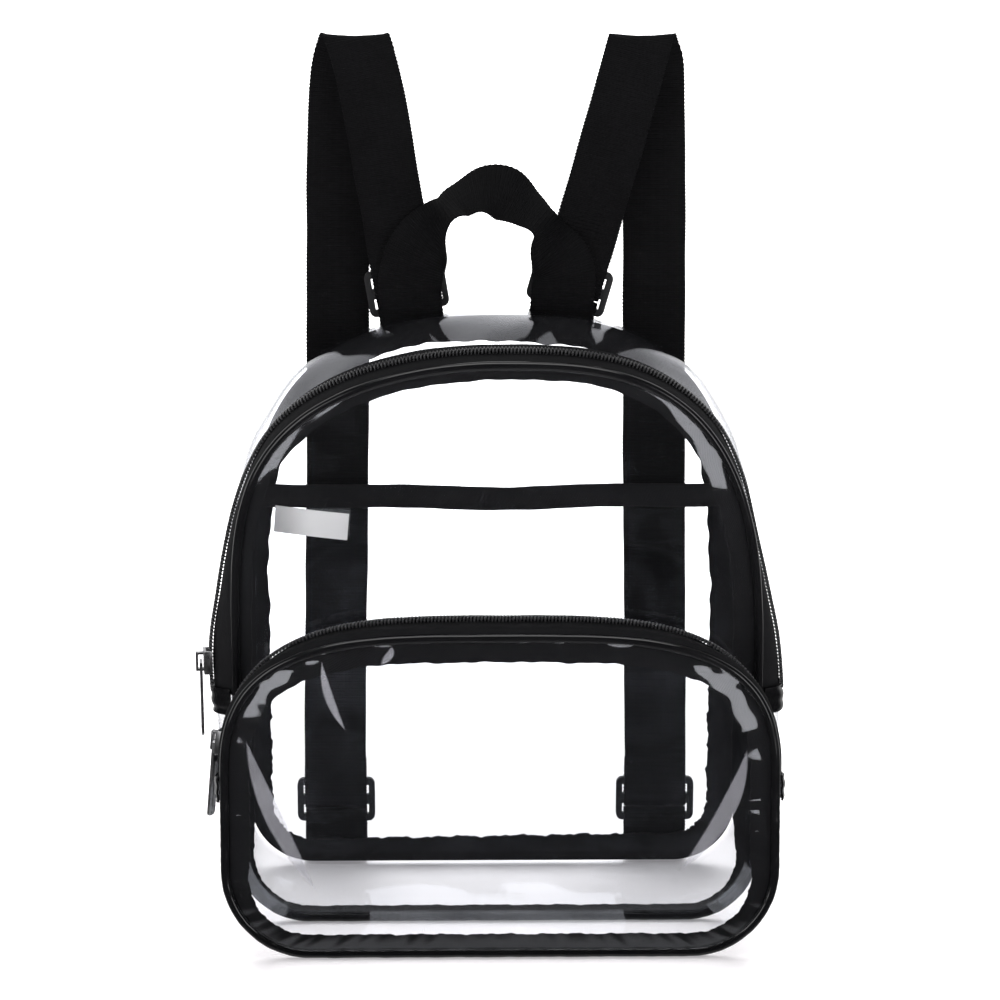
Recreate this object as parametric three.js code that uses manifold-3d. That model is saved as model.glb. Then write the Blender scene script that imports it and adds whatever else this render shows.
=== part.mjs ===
// A clear mini backpack with black trim: a domed main bag with a zip over its top, a clear front
// pocket with its own zip, a slip pocket on the back wall, a grab handle and two webbing shoulder
// straps that stand up behind the bag in long loops.
// Millimetres. X points to the bag's left-to-right as it is seen from the front, +Y points to the
// wearer's back and +Z up. While it is built, the back panel is the plane y = 0 and the floor z = 0.
// The finished group is moved so that its origin is the middle of the foot of its bounding box.

import * as THREE from "three";
import { mergeVertices } from "three/addons/utils/BufferGeometryUtils.js";
import Module from "manifold-3d";

const wasm = await Module();
wasm.setup();

// Sheets, tapes and the gap between pieces that are sewn or pushed together
const SHEET = 1.0;
const TAPE = 1.0;
const GAP = 0.3;
const CORD_RADIUS = 2.2;
const MAIN_TAPE_WIDTH = 5;
const POCKET_TAPE_WIDTH = 8.5;
const BINDING_WIDTH = 12;
const BINDING_THICKNESS = 2;

// Outlines seen from the front. A dome springs from the sides and closes at the top. rise and run
// say how square it is: 2 and 2 are an ellipse, and larger numbers are fuller.
const FRONT = {
  left: { half: 121, rise: 4.5, run: 2 },
  right: { half: 118, rise: 3, run: 3 },
  top: 262,
  springing: 110,
  corner: 32,
  base: CORD_RADIUS,
};
const BACK = {
  left: { half: 124, rise: 3.6, run: 2.6 },
  right: { half: 118, rise: 3.6, run: 2.7 },
  top: 276,
  springing: 110,
  corner: 32,
  base: SHEET / 2,
};
const POCKET = {
  left: { half: 124, rise: 2.8, run: 3.6 },
  right: { half: 122.5, rise: 2.8, run: 3.6 },
  top: 144,
  springing: 80,
  corner: 38,
  base: CORD_RADIUS,
};

// Depths
const MAIN_DEPTH = 78;
const POCKET_DEPTH_AT_BASE = 44;
const POCKET_DEPTH_AT_TOP = 28;
const POCKET_TOP_RISE = 5; // the pocket's rear seam is this much above its front one

// How far soft walls swell
const FRONT_CROWN = 6;
const BACK_CROWN = 1.5;
const POCKET_CROWN = 8;
const POCKET_SWELL = 3.5;
const FLARE = 0.045; // share of the depth over which a side wall leaves the front seam
const FLARE_PEAK = 0.82; // the flare's largest value, so that a swell is in millimetres
// Swell of the main walls on the two sides, at heights above the floor
const MAIN_SWELL = [
  { height: 0, left: 0, right: 0 },
  { height: 31, left: 4.2, right: 4.2 },
  { height: 63, left: 8.2, right: 9 },
  { height: 100, left: 9.8, right: 10.8 },
  { height: 131, left: 10.6, right: 8.8 },
  { height: 157, left: 7, right: 4.6 },
  { height: 183, left: 4, right: 1.6 },
  { height: 210, left: 2.4, right: 2 },
  { height: 232, left: 3.4, right: 3.4 },
  { height: 262, left: 4.2, right: 4.2 },
];

// Zips
const HALF_TAPE = 12.5;
const COIL_WIDTH = 6;
const COIL_HEIGHT = 2.2;
const COIL_SHOULDER = 0.6; // share of the coil's half width that is flat on top
const TAB_LENGTH = 9.5;
const MAIN_SLIDER_ABOVE_END = 14;
const POCKET_SLIDER_ABOVE_END = 14;

// Slip pocket and label
const HEM_FOOT = 182;
const SLIP_BELLY = 6;
const HEM_HEIGHT = 12;
const HEM_THICKNESS = 2;
const LABEL = {
  length: 36,
  height: 13,
  thickness: 0.6,
  out: -108, // its sewn end
  up: 177,
  droop: 5,
  forward: 8,
};

// Webbing
const WEBBING_WIDTH = 31;
const WEBBING = 1.4;
const SEWN = 12; // how far webbing reaches below the seam that holds it

// Tri-glides: flat frames with two slots and a middle bar
const GLIDE = { width: 38.5, height: 22, thickness: 3, end: 3.5, bar: 5, slot: 32.5, corner: 5 };
const GLIDE_LIFT = 2.2; // gap between the top seam and the upper tri-glides
const TURN_STEPS = 6; // of webbing round a bar
const LOOP_STEPS = 4; // of webbing over the top of a strap's loop

// Sections of webbing, per row of its route
const HANDLE_SECTIONS = 3;
const STRAP_SECTIONS = 2;
const ANCHOR_SECTIONS = 2;

const HANDLE = { centre: -6, halfSpan: 35, rise: 72, lean: 10 };
const HANDLE_ROWS = [
  { across: -1.02, up: -0.17, forward: 0, edgeX: 1, edgeY: 0, edgeZ: 0 },
  { across: -1.02, up: 0.04, forward: 0, edgeX: 1, edgeY: 0, edgeZ: 0 },
  { across: -1.03, up: 0.25, forward: 0.2, edgeX: 0.98, edgeY: -0.06, edgeZ: 0.16 },
  { across: -0.93, up: 0.476, forward: 0.6, edgeX: 0.87, edgeY: -0.43, edgeZ: 0.25 },
  { across: -0.64, up: 0.71, forward: 1.1, edgeX: 0.4, edgeY: -0.92, edgeZ: 0.05 },
  { across: -0.35, up: 0.779, forward: 1, edgeX: 0.16, edgeY: -0.94, edgeZ: -0.3 },
  { across: -0.07, up: 0.848, forward: 1.1, edgeX: 0, edgeY: -0.77, edgeZ: -0.64 },
  { across: 0.25, up: 0.83, forward: 1, edgeX: -0.16, edgeY: -0.63, edgeZ: -0.76 },
  { across: 0.55, up: 0.727, forward: 1, edgeX: -0.25, edgeY: -0.83, edgeZ: -0.49 },
  { across: 0.78, up: 0.626, forward: 1.05, edgeX: -0.41, edgeY: -0.89, edgeZ: -0.17 },
  { across: 0.93, up: 0.494, forward: 0.9, edgeX: -0.71, edgeY: -0.7, edgeZ: -0.1 },
  { across: 1.04, up: 0.292, forward: 0.4, edgeX: -0.99, edgeY: -0.12, edgeZ: -0.09 },
  { across: 1.03, up: 0.07, forward: 0, edgeX: -1, edgeY: 0, edgeZ: 0 },
  { across: 1.03, up: -0.17, forward: 0, edgeX: -1, edgeY: 0, edgeZ: 0 },
];

// Shoulder straps. Each rises from its upper tri-glide, bends over at the top of its loop as if round
// a level rod, and falls behind the bag to its lower tri-glide. left and right are how far out the
// middle of each strap is, and back is how far behind the handle.
const STRAP = {
  upperOut: { left: 38, right: 40 }, // of the upper tri-glides, from the handle's middle
  lowerOut: { left: 81, right: 77.7 },
  lowerUp: 31,
  loopTop: 404,
  loopRadius: 6.5,
  loopBack: 17.5,
  loopOut: { left: [64.4, 71.6], right: [65.2, 71.1] }, // where the bend starts and ends
  tail: 20,
};
const RISING_ROWS = [
  { height: 309, left: 48, right: 40.4, back: 4.6 },
  { height: 323, left: 50.1, right: 44.3, back: 5.3 },
  { height: 341, left: 53.4, right: 49.5, back: 6.3 },
  { height: 358, left: 56, right: 54.3, back: 7.4 },
  { height: 374, left: 58.9, right: 58.8, back: 8.6 },
  { height: 386, left: 61.4, right: 62.1, back: 9.7 },
  { height: 393, left: 63.2, right: 64, back: 10.5 },
];
const AIM_ROW = RISING_ROWS[3]; // the upper tri-glides point at this row
const FALLING_ROWS = [
  { height: 392, left: 73.4, right: 72, back: 24 },
  { height: 384, left: 74.8, right: 72.6, back: 24.2 },
  { height: 370, left: 75.8, right: 73, back: 24 },
  { height: 346, left: 76.7, right: 73.6, back: 22.6 },
  { height: 312, left: 77.3, right: 73.9, back: 20 },
  { height: 268, left: 77.7, right: 74.1, back: 16.8 },
  { height: 225, left: 78.2, right: 74.6, back: 14 },
  { height: 179, left: 78.9, right: 75.3, back: 11 },
  { height: 140, left: 79.7, right: 76, back: 8 },
  { height: 105, left: 80.4, right: 76.7, back: 5.3 },
  { height: 72, left: 80.9, right: 77.3, back: 2.4 },
];

// Slider and pull, in the slider's own frame: X across the zip, Y down along it and Z outwards
const SLIDER = { length: 11, flange: 1.1, plate: 1.3, bridge: 9, bridgeWidth: 2.4, bridgeBar: 1.2 };
const BRIDGE_CHAMFER = 1;
const BRIDGE_ROOT = 0.2; // how far the bridge reaches into the plate
const SLIDER_PLAY = 0.5;
const TUNNEL = 2.4;
const PULL = { length: 35, width: 6.4, thickness: 1.2, eye: 6.2, eyeWidth: 3.6, slotWidth: 2.2 };

// Steps round a panel, from the middle of its foot round to its top
const FOOT_STEPS = 1;
const CORNER_STEPS = 6;
const SIDE_STEPS = 4;
const DOME_STEPS = 13;
const SHEET_RINGS = [1, 0.78, 0.42]; // of a crowned sheet, as shares of the way out to its edge
const CORD_SIDES = 8;
const SLIP_COLUMNS = 8;
const WALL_SAMPLES = 48; // over which a side wall's width is measured

// Steps over which a direction is measured
const STATION_STEP = 0.02;
const SHARE_STEP = 0.01;

// A station is a place round an outline. 0 is the middle of the foot, 1 the start of the right
// corner, 2 its end, 3 the springing, 4 the top, and 5 to 8 the same places on the left.
const SPRINGING = 3;
const TOP = 4;
const FULL_ROUND = 8;
const DOME_SAMPLES = 60;

const clamp = THREE.MathUtils.clamp;
const lerp = THREE.MathUtils.lerp;
const rad = THREE.MathUtils.degToRad;

// The dome of one side as closely spaced [x, z] points with the length run so far
function domeTable(panel, side) {
  side.table = [];
  let run = 0;
  for (let i = 0; i <= DOME_SAMPLES; i++) {
    const turn = (i / DOME_SAMPLES) * (Math.PI / 2);
    const across = Math.max(Math.cos(turn), 0) ** (2 / side.run);
    const up = Math.sin(turn) ** (2 / side.rise);
    const x = side.half * across;
    const z = lerp(panel.springing, panel.top, up);
    const last = side.table.at(-1);
    run += last ? Math.hypot(x - last.x, z - last.z) : 0;
    side.table.push({ x, z, run });
  }
}

function domePoint(panel, side, share) {
  if (!side.table) domeTable(panel, side);
  const wanted = share * side.table.at(-1).run;
  const after = Math.max(
    1,
    side.table.findIndex((row) => row.run >= wanted - 1e-9),
  );
  const a = side.table[after - 1];
  const b = side.table[after];
  const t = (wanted - a.run) / (b.run - a.run);
  return new THREE.Vector2(lerp(a.x, b.x, t), lerp(a.z, b.z, t));
}

// The point of a panel's outline at a station, as (x, z)
function outlinePoint(panel, station) {
  const s = THREE.MathUtils.euclideanModulo(station, FULL_ROUND);
  const onLeft = s > TOP;
  const place = onLeft ? FULL_ROUND - s : s;
  const side = onLeft ? panel.left : panel.right;
  const { corner, base } = panel;
  let point;
  if (place <= 1) {
    point = new THREE.Vector2((side.half - corner) * place, base);
  } else if (place <= 2) {
    const turn = (place - 1) * (Math.PI / 2);
    point = new THREE.Vector2(
      side.half - corner + corner * Math.sin(turn),
      base + corner - corner * Math.cos(turn),
    );
  } else if (place <= SPRINGING) {
    point = new THREE.Vector2(side.half, lerp(base + corner, panel.springing, place - 2));
  } else {
    point = domePoint(panel, side, place - SPRINGING);
  }
  return onLeft ? new THREE.Vector2(-point.x, point.y) : point;
}

// The direction that points out of the outline at a station
function outward(panel, station) {
  const along = outlinePoint(panel, station + STATION_STEP).sub(
    outlinePoint(panel, station - STATION_STEP),
  );
  return new THREE.Vector2(along.y, -along.x).normalize();
}

function insetPoint(panel, station, inset) {
  return outlinePoint(panel, station).addScaledVector(outward(panel, station), -inset);
}

// Stations for a run from one station to another, with the panel's own steps in each stretch
function stations(from, to) {
  const steps = [FOOT_STEPS, CORNER_STEPS, SIDE_STEPS, DOME_STEPS];
  const counts = [...steps, ...steps.toReversed()];
  const list = [];
  for (let stretch = Math.floor(from); stretch < to - 1e-9; stretch++) {
    const count = counts[THREE.MathUtils.euclideanModulo(stretch, FULL_ROUND)];
    for (let i = 0; i < count; i++) {
      const s = stretch + i / count;
      if (s > from - 1e-9 && s < to - 1e-9) list.push(s);
    }
  }
  if (!list.length || list[0] - from > 1e-9) list.unshift(from);
  return [...list, to];
}

// A smooth curve through the rows of a short table
function along(rows, key, value, at) {
  const last = rows.length - 1;
  const next = clamp(
    rows.findIndex((row) => row[key] >= at),
    1,
    last,
  );
  const i = at >= rows[last][key] ? last : next;
  const slope = (k) => {
    const a = rows[Math.max(k - 1, 0)];
    const b = rows[Math.min(k + 1, last)];
    return (b[value] - a[value]) / (b[key] - a[key]);
  };
  const p = rows[i - 1];
  const q = rows[i];
  const width = q[key] - p[key];
  const t = clamp((at - p[key]) / width, 0, 1);
  const hermite = (2 * t ** 3 - 3 * t ** 2 + 1) * p[value] + (3 * t ** 2 - 2 * t ** 3) * q[value];
  const bend = (t ** 3 - 2 * t ** 2 + t) * slope(i - 1) + (t ** 3 - t ** 2) * slope(i);
  return hermite + bend * width;
}

// How far a panel stands out at (x, z): full at its middle and nothing at its edge
function crown(panel, height, x, z) {
  const half = x < 0 ? panel.left.half : panel.right.half;
  const middle = (panel.top + panel.base) / 2;
  const across = clamp(1 - (x / half) ** 2, 0, 1);
  const up = clamp(1 - ((z - middle) / (panel.top - middle)) ** 2, 0, 1);
  return height * Math.sqrt(across * up);
}

const frontFaceY = (x, z) => -MAIN_DEPTH - crown(FRONT, FRONT_CROWN, x, z) - SHEET / 2;
const pocketDepthAt = (z) =>
  lerp(
    POCKET_DEPTH_AT_BASE,
    POCKET_DEPTH_AT_TOP,
    clamp((z - POCKET.base) / (POCKET.top - POCKET.base), 0, 1),
  );
const pocketSeamY = (z) => -MAIN_DEPTH - pocketDepthAt(z);

// The pocket's rear seam lies on the front panel, just inside the piping cord
const POCKET_SEAT = CORD_RADIUS + GAP + SHEET;
const POCKET_REAR = {
  left: { ...POCKET.left, half: FRONT.left.half - POCKET_SEAT },
  right: { ...POCKET.right, half: FRONT.right.half - POCKET_SEAT },
  top: POCKET.top + POCKET_TOP_RISE,
  springing: POCKET.springing,
  corner: FRONT.corner,
  base: FRONT.base + POCKET_SEAT,
};

// The two side walls run from a front outline to a rear one and swell in between
const MAIN_WALL = {
  front: FRONT,
  rear: BACK,
  frontY: () => -MAIN_DEPTH,
  rearY: () => 0,
  swell: (point) => along(MAIN_SWELL, "height", point.x < 0 ? "left" : "right", point.y),
};
const POCKET_WALL = {
  front: POCKET,
  rear: POCKET_REAR,
  frontY: (point) => pocketSeamY(point.y),
  rearY: (point) => frontFaceY(point.x, point.y) - GAP,
  swell: (point) => POCKET_SWELL * clamp(point.y / POCKET.springing, 0, 1),
};

// The swell leaves the front seam at once and dies away to the rear seam
function flare(share) {
  return ((1 - share) * (1 - Math.exp(-share / FLARE))) / FLARE_PEAK;
}

function wallPoint(wall, station, share) {
  const front = outlinePoint(wall.front, station);
  const rear = outlinePoint(wall.rear, station);
  const out = outward(wall.front, station).lerp(outward(wall.rear, station), share).normalize();
  const swell = wall.swell(front) * flare(share);
  return new THREE.Vector3(
    lerp(front.x, rear.x, share) + out.x * swell,
    lerp(wall.frontY(front), wall.rearY(rear), share),
    lerp(front.y, rear.y, share) + out.y * swell,
  );
}

// Shares at which the wall's own width, measured over the swell, reaches each wanted distance.
// A negative distance is measured back from the rear seam.
function sharesAt(wall, station, distances) {
  const samples = WALL_SAMPLES;
  const runs = [0];
  for (let i = 1; i <= samples; i++) {
    const a = wallPoint(wall, station, (i - 1) / samples);
    runs.push(runs[i - 1] + a.distanceTo(wallPoint(wall, station, i / samples)));
  }
  return distances.map((distance) => {
    const wanted = distance < 0 ? runs[samples] + distance : distance;
    const after = clamp(
      runs.findIndex((run) => run >= wanted),
      1,
      samples,
    );
    const t = (wanted - runs[after - 1]) / (runs[after] - runs[after - 1]);
    return (after - 1 + clamp(t, 0, 1)) / samples;
  });
}

function wallNormal(wall, station, share) {
  const step = SHARE_STEP;
  const low = Math.max(share - step, 0);
  const high = Math.min(share + step, 1);
  const round = wallPoint(wall, station + step, share).sub(wallPoint(wall, station - step, share));
  const back = wallPoint(wall, station, high).sub(wallPoint(wall, station, low));
  return round.cross(back).normalize().negate();
}

// A solid lofted through sections with the same number of corners. It is closed into a ring or
// capped at its two ends.
function loft(sections, ring = false) {
  const corners = sections[0].length;
  const positions = sections.flat().flatMap((p) => [p.x, p.y, p.z]);
  const index = [];
  const spans = ring ? sections.length : sections.length - 1;
  for (let i = 0; i < spans; i++) {
    const a = i * corners;
    const b = ((i + 1) % sections.length) * corners;
    for (let j = 0; j < corners; j++) {
      const k = (j + 1) % corners;
      index.push(a + j, b + j, b + k, a + j, b + k, a + k);
    }
  }
  if (!ring) {
    // Sections are thin loops of paired points, so each end is closed by quads between the pairs
    const last = (sections.length - 1) * corners;
    for (let j = 0; j < corners / 2 - 1; j++) {
      const [p, q, r, s] = [j, j + 1, corners - 2 - j, corners - 1 - j];
      index.push(p, q, r, p, r, s);
      index.push(last + p, last + r, last + q, last + p, last + s, last + r);
    }
  }
  return facingOut(positions, index);
}

function facingOut(positions, index) {
  const corner = (i) => new THREE.Vector3().fromArray(positions, index[i] * 3);
  let volume = 0;
  for (let i = 0; i < index.length; i += 3) {
    volume += corner(i).dot(corner(i + 1).cross(corner(i + 2)));
  }
  if (volume < 0) {
    for (let i = 0; i < index.length; i += 3) {
      [index[i + 1], index[i + 2]] = [index[i + 2], index[i + 1]];
    }
  }
  const geometry = new THREE.BufferGeometry();
  geometry.setAttribute("position", new THREE.Float32BufferAttribute(positions, 3));
  geometry.setIndex(index);
  geometry.computeVertexNormals();
  return geometry;
}

// A strip that lies on a wall between two distances from its front seam. low and high are its
// faces' heights above the middle of the sheet.
function strip(wall, { from, to, near, far, low, high, across = 1 }) {
  const sections = stations(from, to).map((station) => {
    const [start, end] = sharesAt(wall, station, [near, far]);
    const outer = [];
    const inner = [];
    for (let i = 0; i <= across; i++) {
      const share = lerp(start, end, i / across);
      const point = wallPoint(wall, station, share);
      const normal = wallNormal(wall, station, share);
      outer.push(point.clone().addScaledVector(normal, high));
      inner.push(point.clone().addScaledVector(normal, low));
    }
    return [...outer, ...inner.reverse()];
  });
  return loft(sections);
}

const lowAndHigh = (thickness) => ({ low: -thickness / 2, high: thickness / 2 });

// A crowned sheet that fills an outline, inset from its seam. yAt gives its middle at (x, z).
function panelSheet(panel, inset, yAt) {
  const shares = SHEET_RINGS;
  const around = stations(0, FULL_ROUND).slice(0, -1);
  const centre = new THREE.Vector2(0, (panel.top + panel.base) / 2);
  const edge = around.map((station) => insetPoint(panel, station, inset));
  const faces = [-SHEET / 2, SHEET / 2].map((offset) => {
    const lift = (p) => new THREE.Vector3(p.x, yAt(p.x, p.y) + offset, p.y);
    const rings = shares.map((share) => edge.map((p) => lift(centre.clone().lerp(p, share))));
    return [...rings.flat(), lift(centre)];
  });
  const points = faces.flat();
  const ringSize = around.length;
  const faceSize = faces[0].length;
  const index = [];
  for (let j = 0; j < ringSize; j++) {
    const k = (j + 1) % ringSize;
    for (let face = 0; face < 2; face++) {
      const add = (a, b, c) => index.push(...(face ? [a, c, b] : [a, b, c]));
      const at = (ring, n) => face * faceSize + ring * ringSize + n;
      for (let ring = 0; ring < shares.length - 1; ring++) {
        add(at(ring, j), at(ring, k), at(ring + 1, k));
        add(at(ring, j), at(ring + 1, k), at(ring + 1, j));
      }
      add(at(shares.length - 1, j), at(shares.length - 1, k), face * faceSize + faceSize - 1);
    }
    index.push(j, faceSize + j, faceSize + k, j, faceSize + k, k);
  }
  return facingOut(
    points.flatMap((p) => [p.x, p.y, p.z]),
    index,
  );
}

// A piping cord round an outline
function pipingCord(panel, yAt) {
  const sides = CORD_SIDES;
  const sections = stations(0, FULL_ROUND)
    .slice(0, -1)
    .map((station) => {
      const centre = outlinePoint(panel, station);
      const out = outward(panel, station);
      return Array.from({ length: sides }, (_, i) => {
        const turn = (i / sides) * 2 * Math.PI;
        const p = centre.clone().addScaledVector(out, CORD_RADIUS * Math.cos(turn));
        return new THREE.Vector3(p.x, yAt(centre.y) + CORD_RADIUS * Math.sin(turn), p.y);
      });
    });
  return loft(sections, true);
}

// A flat band that follows an outline inside a seam
function seamBand(panel, { inset, width, front, thickness }) {
  const sections = stations(0, FULL_ROUND)
    .slice(0, -1)
    .map((station) => {
      const outer = insetPoint(panel, station, inset);
      const inner = insetPoint(panel, station, inset + width);
      return [
        [outer, 0],
        [inner, 0],
        [inner, thickness],
        [outer, thickness],
      ].map(([p, depth]) => new THREE.Vector3(p.x, front(p.x, p.y) + depth, p.y));
    });
  return loft(sections, true);
}

// Webbing along a route. Each route point has its place and the direction of its width.
function webbing(route, perRow) {
  const steps = (route.length - 1) * perRow;
  const path = new THREE.CatmullRomCurve3(
    route.map((row) => row.at),
    false,
    "catmullrom",
    0.5,
  );
  const edges = new THREE.CatmullRomCurve3(
    route.map((row) => row.edge),
    false,
    "catmullrom",
    0.5,
  );
  const sections = [];
  for (let i = 0; i <= steps; i++) {
    const t = i / steps;
    const centre = path.getPoint(t);
    const tangent = path.getTangent(t);
    const edge = edges.getPoint(t);
    edge.addScaledVector(tangent, -edge.dot(tangent)).normalize();
    const face = tangent.clone().cross(edge).normalize();
    const corner = (across, through) =>
      centre
        .clone()
        .addScaledVector(edge, (across * WEBBING_WIDTH) / 2)
        .addScaledVector(face, (through * WEBBING) / 2);
    sections.push([corner(-1, 1), corner(1, 1), corner(1, -1), corner(-1, -1)]);
  }
  return loft(sections);
}

const turnRound = (bar) => Math.hypot(bar, GLIDE.thickness) / 2 + GAP + WEBBING / 2;
const WEB_TURN = turnRound(GLIDE.bar);
const END_TURN = turnRound(GLIDE.end);
const HANDLE_Y = BACK_CROWN + SHEET / 2 + GAP + WEBBING / 2;
const UPPER_ANCHOR_Y = HANDLE_Y + WEBBING + 2 * GAP;
const UPPER_GLIDE_Y = UPPER_ANCHOR_Y + WEB_TURN;
const LOWER_GLIDE_Y = HANDLE_Y + WEB_TURN;

// The route of webbing round a bar. It comes towards the bar behind it, turns under it and leaves
// in front. frame has the bar's centre, the strap's direction away from the bar and that of its
// width. tail and leave are how far from the bar the two runs reach.
function aroundBar(frame, tail, leave, radius = WEB_TURN, tailThrough = radius) {
  const place = (run, through) => ({
    at: frame.centre
      .clone()
      .addScaledVector(frame.along, run)
      .add(new THREE.Vector3(0, through, 0)),
    edge: frame.edge.clone(),
  });
  const straight = Math.min(radius, tail / 2);
  const route = [place(tail, tailThrough), place(straight, radius)];
  for (let i = 0; i <= TURN_STEPS; i++) {
    const turn = (i / TURN_STEPS) * Math.PI;
    route.push(place(-radius * Math.sin(turn), radius * Math.cos(turn)));
  }
  route.push(place(straight, -radius), place(leave, -radius));
  return route;
}

// Height of the top seam at a distance from the middle
function seamHeight(x) {
  const side = x < 0 ? BACK.left : BACK.right;
  const across = clamp(Math.abs(x) / side.half, 0, 1);
  return lerp(BACK.springing, BACK.top, (1 - across ** side.run) ** (1 / side.rise));
}

const sideName = (side) => (side < 0 ? "left" : "right");

// The frame of a tri-glide: side is -1 on the left and 1 on the right
function upperFrame(side) {
  const x = HANDLE.centre + side * STRAP.upperOut[sideName(side)];
  const z = seamHeight(x) + GLIDE.height / 2 + GLIDE_LIFT;
  const aim = side * AIM_ROW[sideName(side)];
  const along = new THREE.Vector3(aim - x, 0, AIM_ROW.height - z).normalize();
  return {
    centre: new THREE.Vector3(x, UPPER_GLIDE_Y, z),
    along,
    edge: new THREE.Vector3(along.z, 0, -along.x),
  };
}

function lowerFrame(side) {
  const x = side * STRAP.lowerOut[sideName(side)];
  return {
    centre: new THREE.Vector3(x, LOWER_GLIDE_Y, STRAP.lowerUp),
    along: new THREE.Vector3(0, 0, 1),
    edge: new THREE.Vector3(1, 0, 0),
  };
}

function strapRoute(side) {
  const key = sideName(side);
  const place = (height, out, back) => ({
    at: new THREE.Vector3(side * out, HANDLE_Y + back, height),
    edge: new THREE.Vector3(1, 0, 0),
  });
  const run = (rows) => rows.map((row) => place(row.height, row[key], row.back));
  const over = Array.from({ length: LOOP_STEPS + 1 }, (_, i) => {
    const turn = (i / LOOP_STEPS) * Math.PI;
    const radius = STRAP.loopRadius;
    return place(
      STRAP.loopTop - radius + radius * Math.sin(turn),
      lerp(...STRAP.loopOut[key], i / LOOP_STEPS),
      STRAP.loopBack - radius * Math.cos(turn),
    );
  });
  const leave = GLIDE.height / 2 + GLIDE.end;
  return [
    ...aroundBar(upperFrame(side), STRAP.tail, leave),
    ...run(RISING_ROWS),
    ...over,
    ...run(FALLING_ROWS),
    ...aroundBar(lowerFrame(side), STRAP.tail, leave).toReversed(),
  ];
}

// A short piece from a seam, round a tri-glide's lower bar and back to the seam
function anchorRoute(frame, seamUp) {
  const drop = GLIDE.height / 2 - GLIDE.end / 2;
  const bar = {
    ...frame,
    centre: frame.centre.clone().addScaledVector(frame.along, -drop),
    along: frame.along.clone().negate(),
  };
  const reach = (bar.centre.z - seamUp) / frame.along.z;
  return aroundBar(bar, reach, reach, END_TURN, -END_TURN + WEBBING + GAP);
}

function handleRoute() {
  const foot = seamHeight(HANDLE.centre - HANDLE.halfSpan);
  return HANDLE_ROWS.map((row) => ({
    at: new THREE.Vector3(
      HANDLE.centre + row.across * HANDLE.halfSpan,
      HANDLE_Y - row.forward * HANDLE.lean,
      foot + row.up * HANDLE.rise,
    ),
    edge: new THREE.Vector3(row.edgeX, row.edgeY, row.edgeZ),
  }));
}

function roundedRectangle(width, height, radius) {
  const x = width / 2 - radius;
  const y = height / 2 - radius;
  const shape = new THREE.Shape();
  shape.absarc(x, -y, radius, -Math.PI / 2, 0, false);
  shape.absarc(x, y, radius, 0, Math.PI / 2, false);
  shape.absarc(-x, y, radius, Math.PI / 2, Math.PI, false);
  shape.absarc(-x, -y, radius, Math.PI, 1.5 * Math.PI, false);
  shape.closePath();
  return shape;
}

function rectangle(width, height, middleUp) {
  const corners = [
    [-1, -1],
    [-1, 1],
    [1, 1],
    [1, -1],
  ];
  const place = ([x, y]) => new THREE.Vector2((x * width) / 2, middleUp + (y * height) / 2);
  return new THREE.Path(corners.map(place));
}

function triGlide() {
  const shape = roundedRectangle(GLIDE.width, GLIDE.height, GLIDE.corner);
  const slotHeight = (GLIDE.height - 2 * GLIDE.end - GLIDE.bar) / 2;
  for (const side of [-1, 1]) {
    shape.holes.push(rectangle(GLIDE.slot, slotHeight, (side * (slotHeight + GLIDE.bar)) / 2));
  }
  const geometry = new THREE.ExtrudeGeometry(shape, {
    depth: GLIDE.thickness,
    bevelEnabled: false,
    curveSegments: 3,
  });
  return geometry.translate(0, 0, -GLIDE.thickness / 2);
}

// The slip pocket: a sheet on the back wall, sewn in at its sides and foot, that bellies forward
const slipSeatY = -(SHEET / 2 + GAP + BINDING_THICKNESS + GAP + HEM_THICKNESS / 2);

function slipSheet(from, to, thickness, rows) {
  const columns = SLIP_COLUMNS;
  const inset = SHEET / 2 + GAP + BINDING_WIDTH * 0.4;
  const sections = [];
  for (let i = 0; i <= rows; i++) {
    const z = lerp(from, to, i / rows);
    const belly = SLIP_BELLY * Math.sqrt(clamp(z / (HEM_FOOT + HEM_HEIGHT), 0, 1));
    const [left, right] = [-1, 1].map((side) => side * (halfWidthAt(side, z) - inset));
    const point = (share, offset) => {
      const x = lerp(left, right, share);
      const y = slipSeatY - belly * Math.sin(Math.PI * share) + offset;
      return new THREE.Vector3(x, y, z);
    };
    const shares = Array.from({ length: columns + 1 }, (_, j) => j / columns);
    sections.push([
      ...shares.map((s) => point(s, -thickness / 2)),
      ...shares.toReversed().map((s) => point(s, thickness / 2)),
    ]);
  }
  return loft(sections);
}

// Half the back panel's width at a height
function halfWidthAt(side, z) {
  const half = (side < 0 ? BACK.left : BACK.right).half;
  const exponents = side < 0 ? BACK.left : BACK.right;
  const fromCorner = BACK.base + BACK.corner - z;
  if (fromCorner > 0) {
    const drop = Math.sqrt(Math.max(BACK.corner ** 2 - fromCorner ** 2, 0));
    return half - BACK.corner + drop;
  }
  const up = clamp((z - BACK.springing) / (BACK.top - BACK.springing), 0, 1);
  return half * (1 - up ** exponents.rise) ** (1 / exponents.run);
}

function solidOf(geometry) {
  const bare = geometry.clone();
  bare.deleteAttribute("normal");
  if (bare.getAttribute("uv")) bare.deleteAttribute("uv");
  const merged = mergeVertices(bare, 1e-4);
  const mesh = new wasm.Mesh({
    numProp: 3,
    vertProperties: merged.attributes.position.array,
    triVerts: new Uint32Array(merged.index.array),
  });
  return new wasm.Manifold(mesh);
}

function geometryOf(solid) {
  const mesh = solid.getMesh();
  const geometry = new THREE.BufferGeometry();
  geometry.setAttribute("position", new THREE.BufferAttribute(mesh.vertProperties, 3));
  geometry.setIndex(new THREE.BufferAttribute(mesh.triVerts, 1));
  geometry.computeVertexNormals();
  return geometry;
}

function box(width, length, height, x, y, z) {
  return new THREE.BoxGeometry(width, length, height).translate(x, y, z);
}

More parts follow.
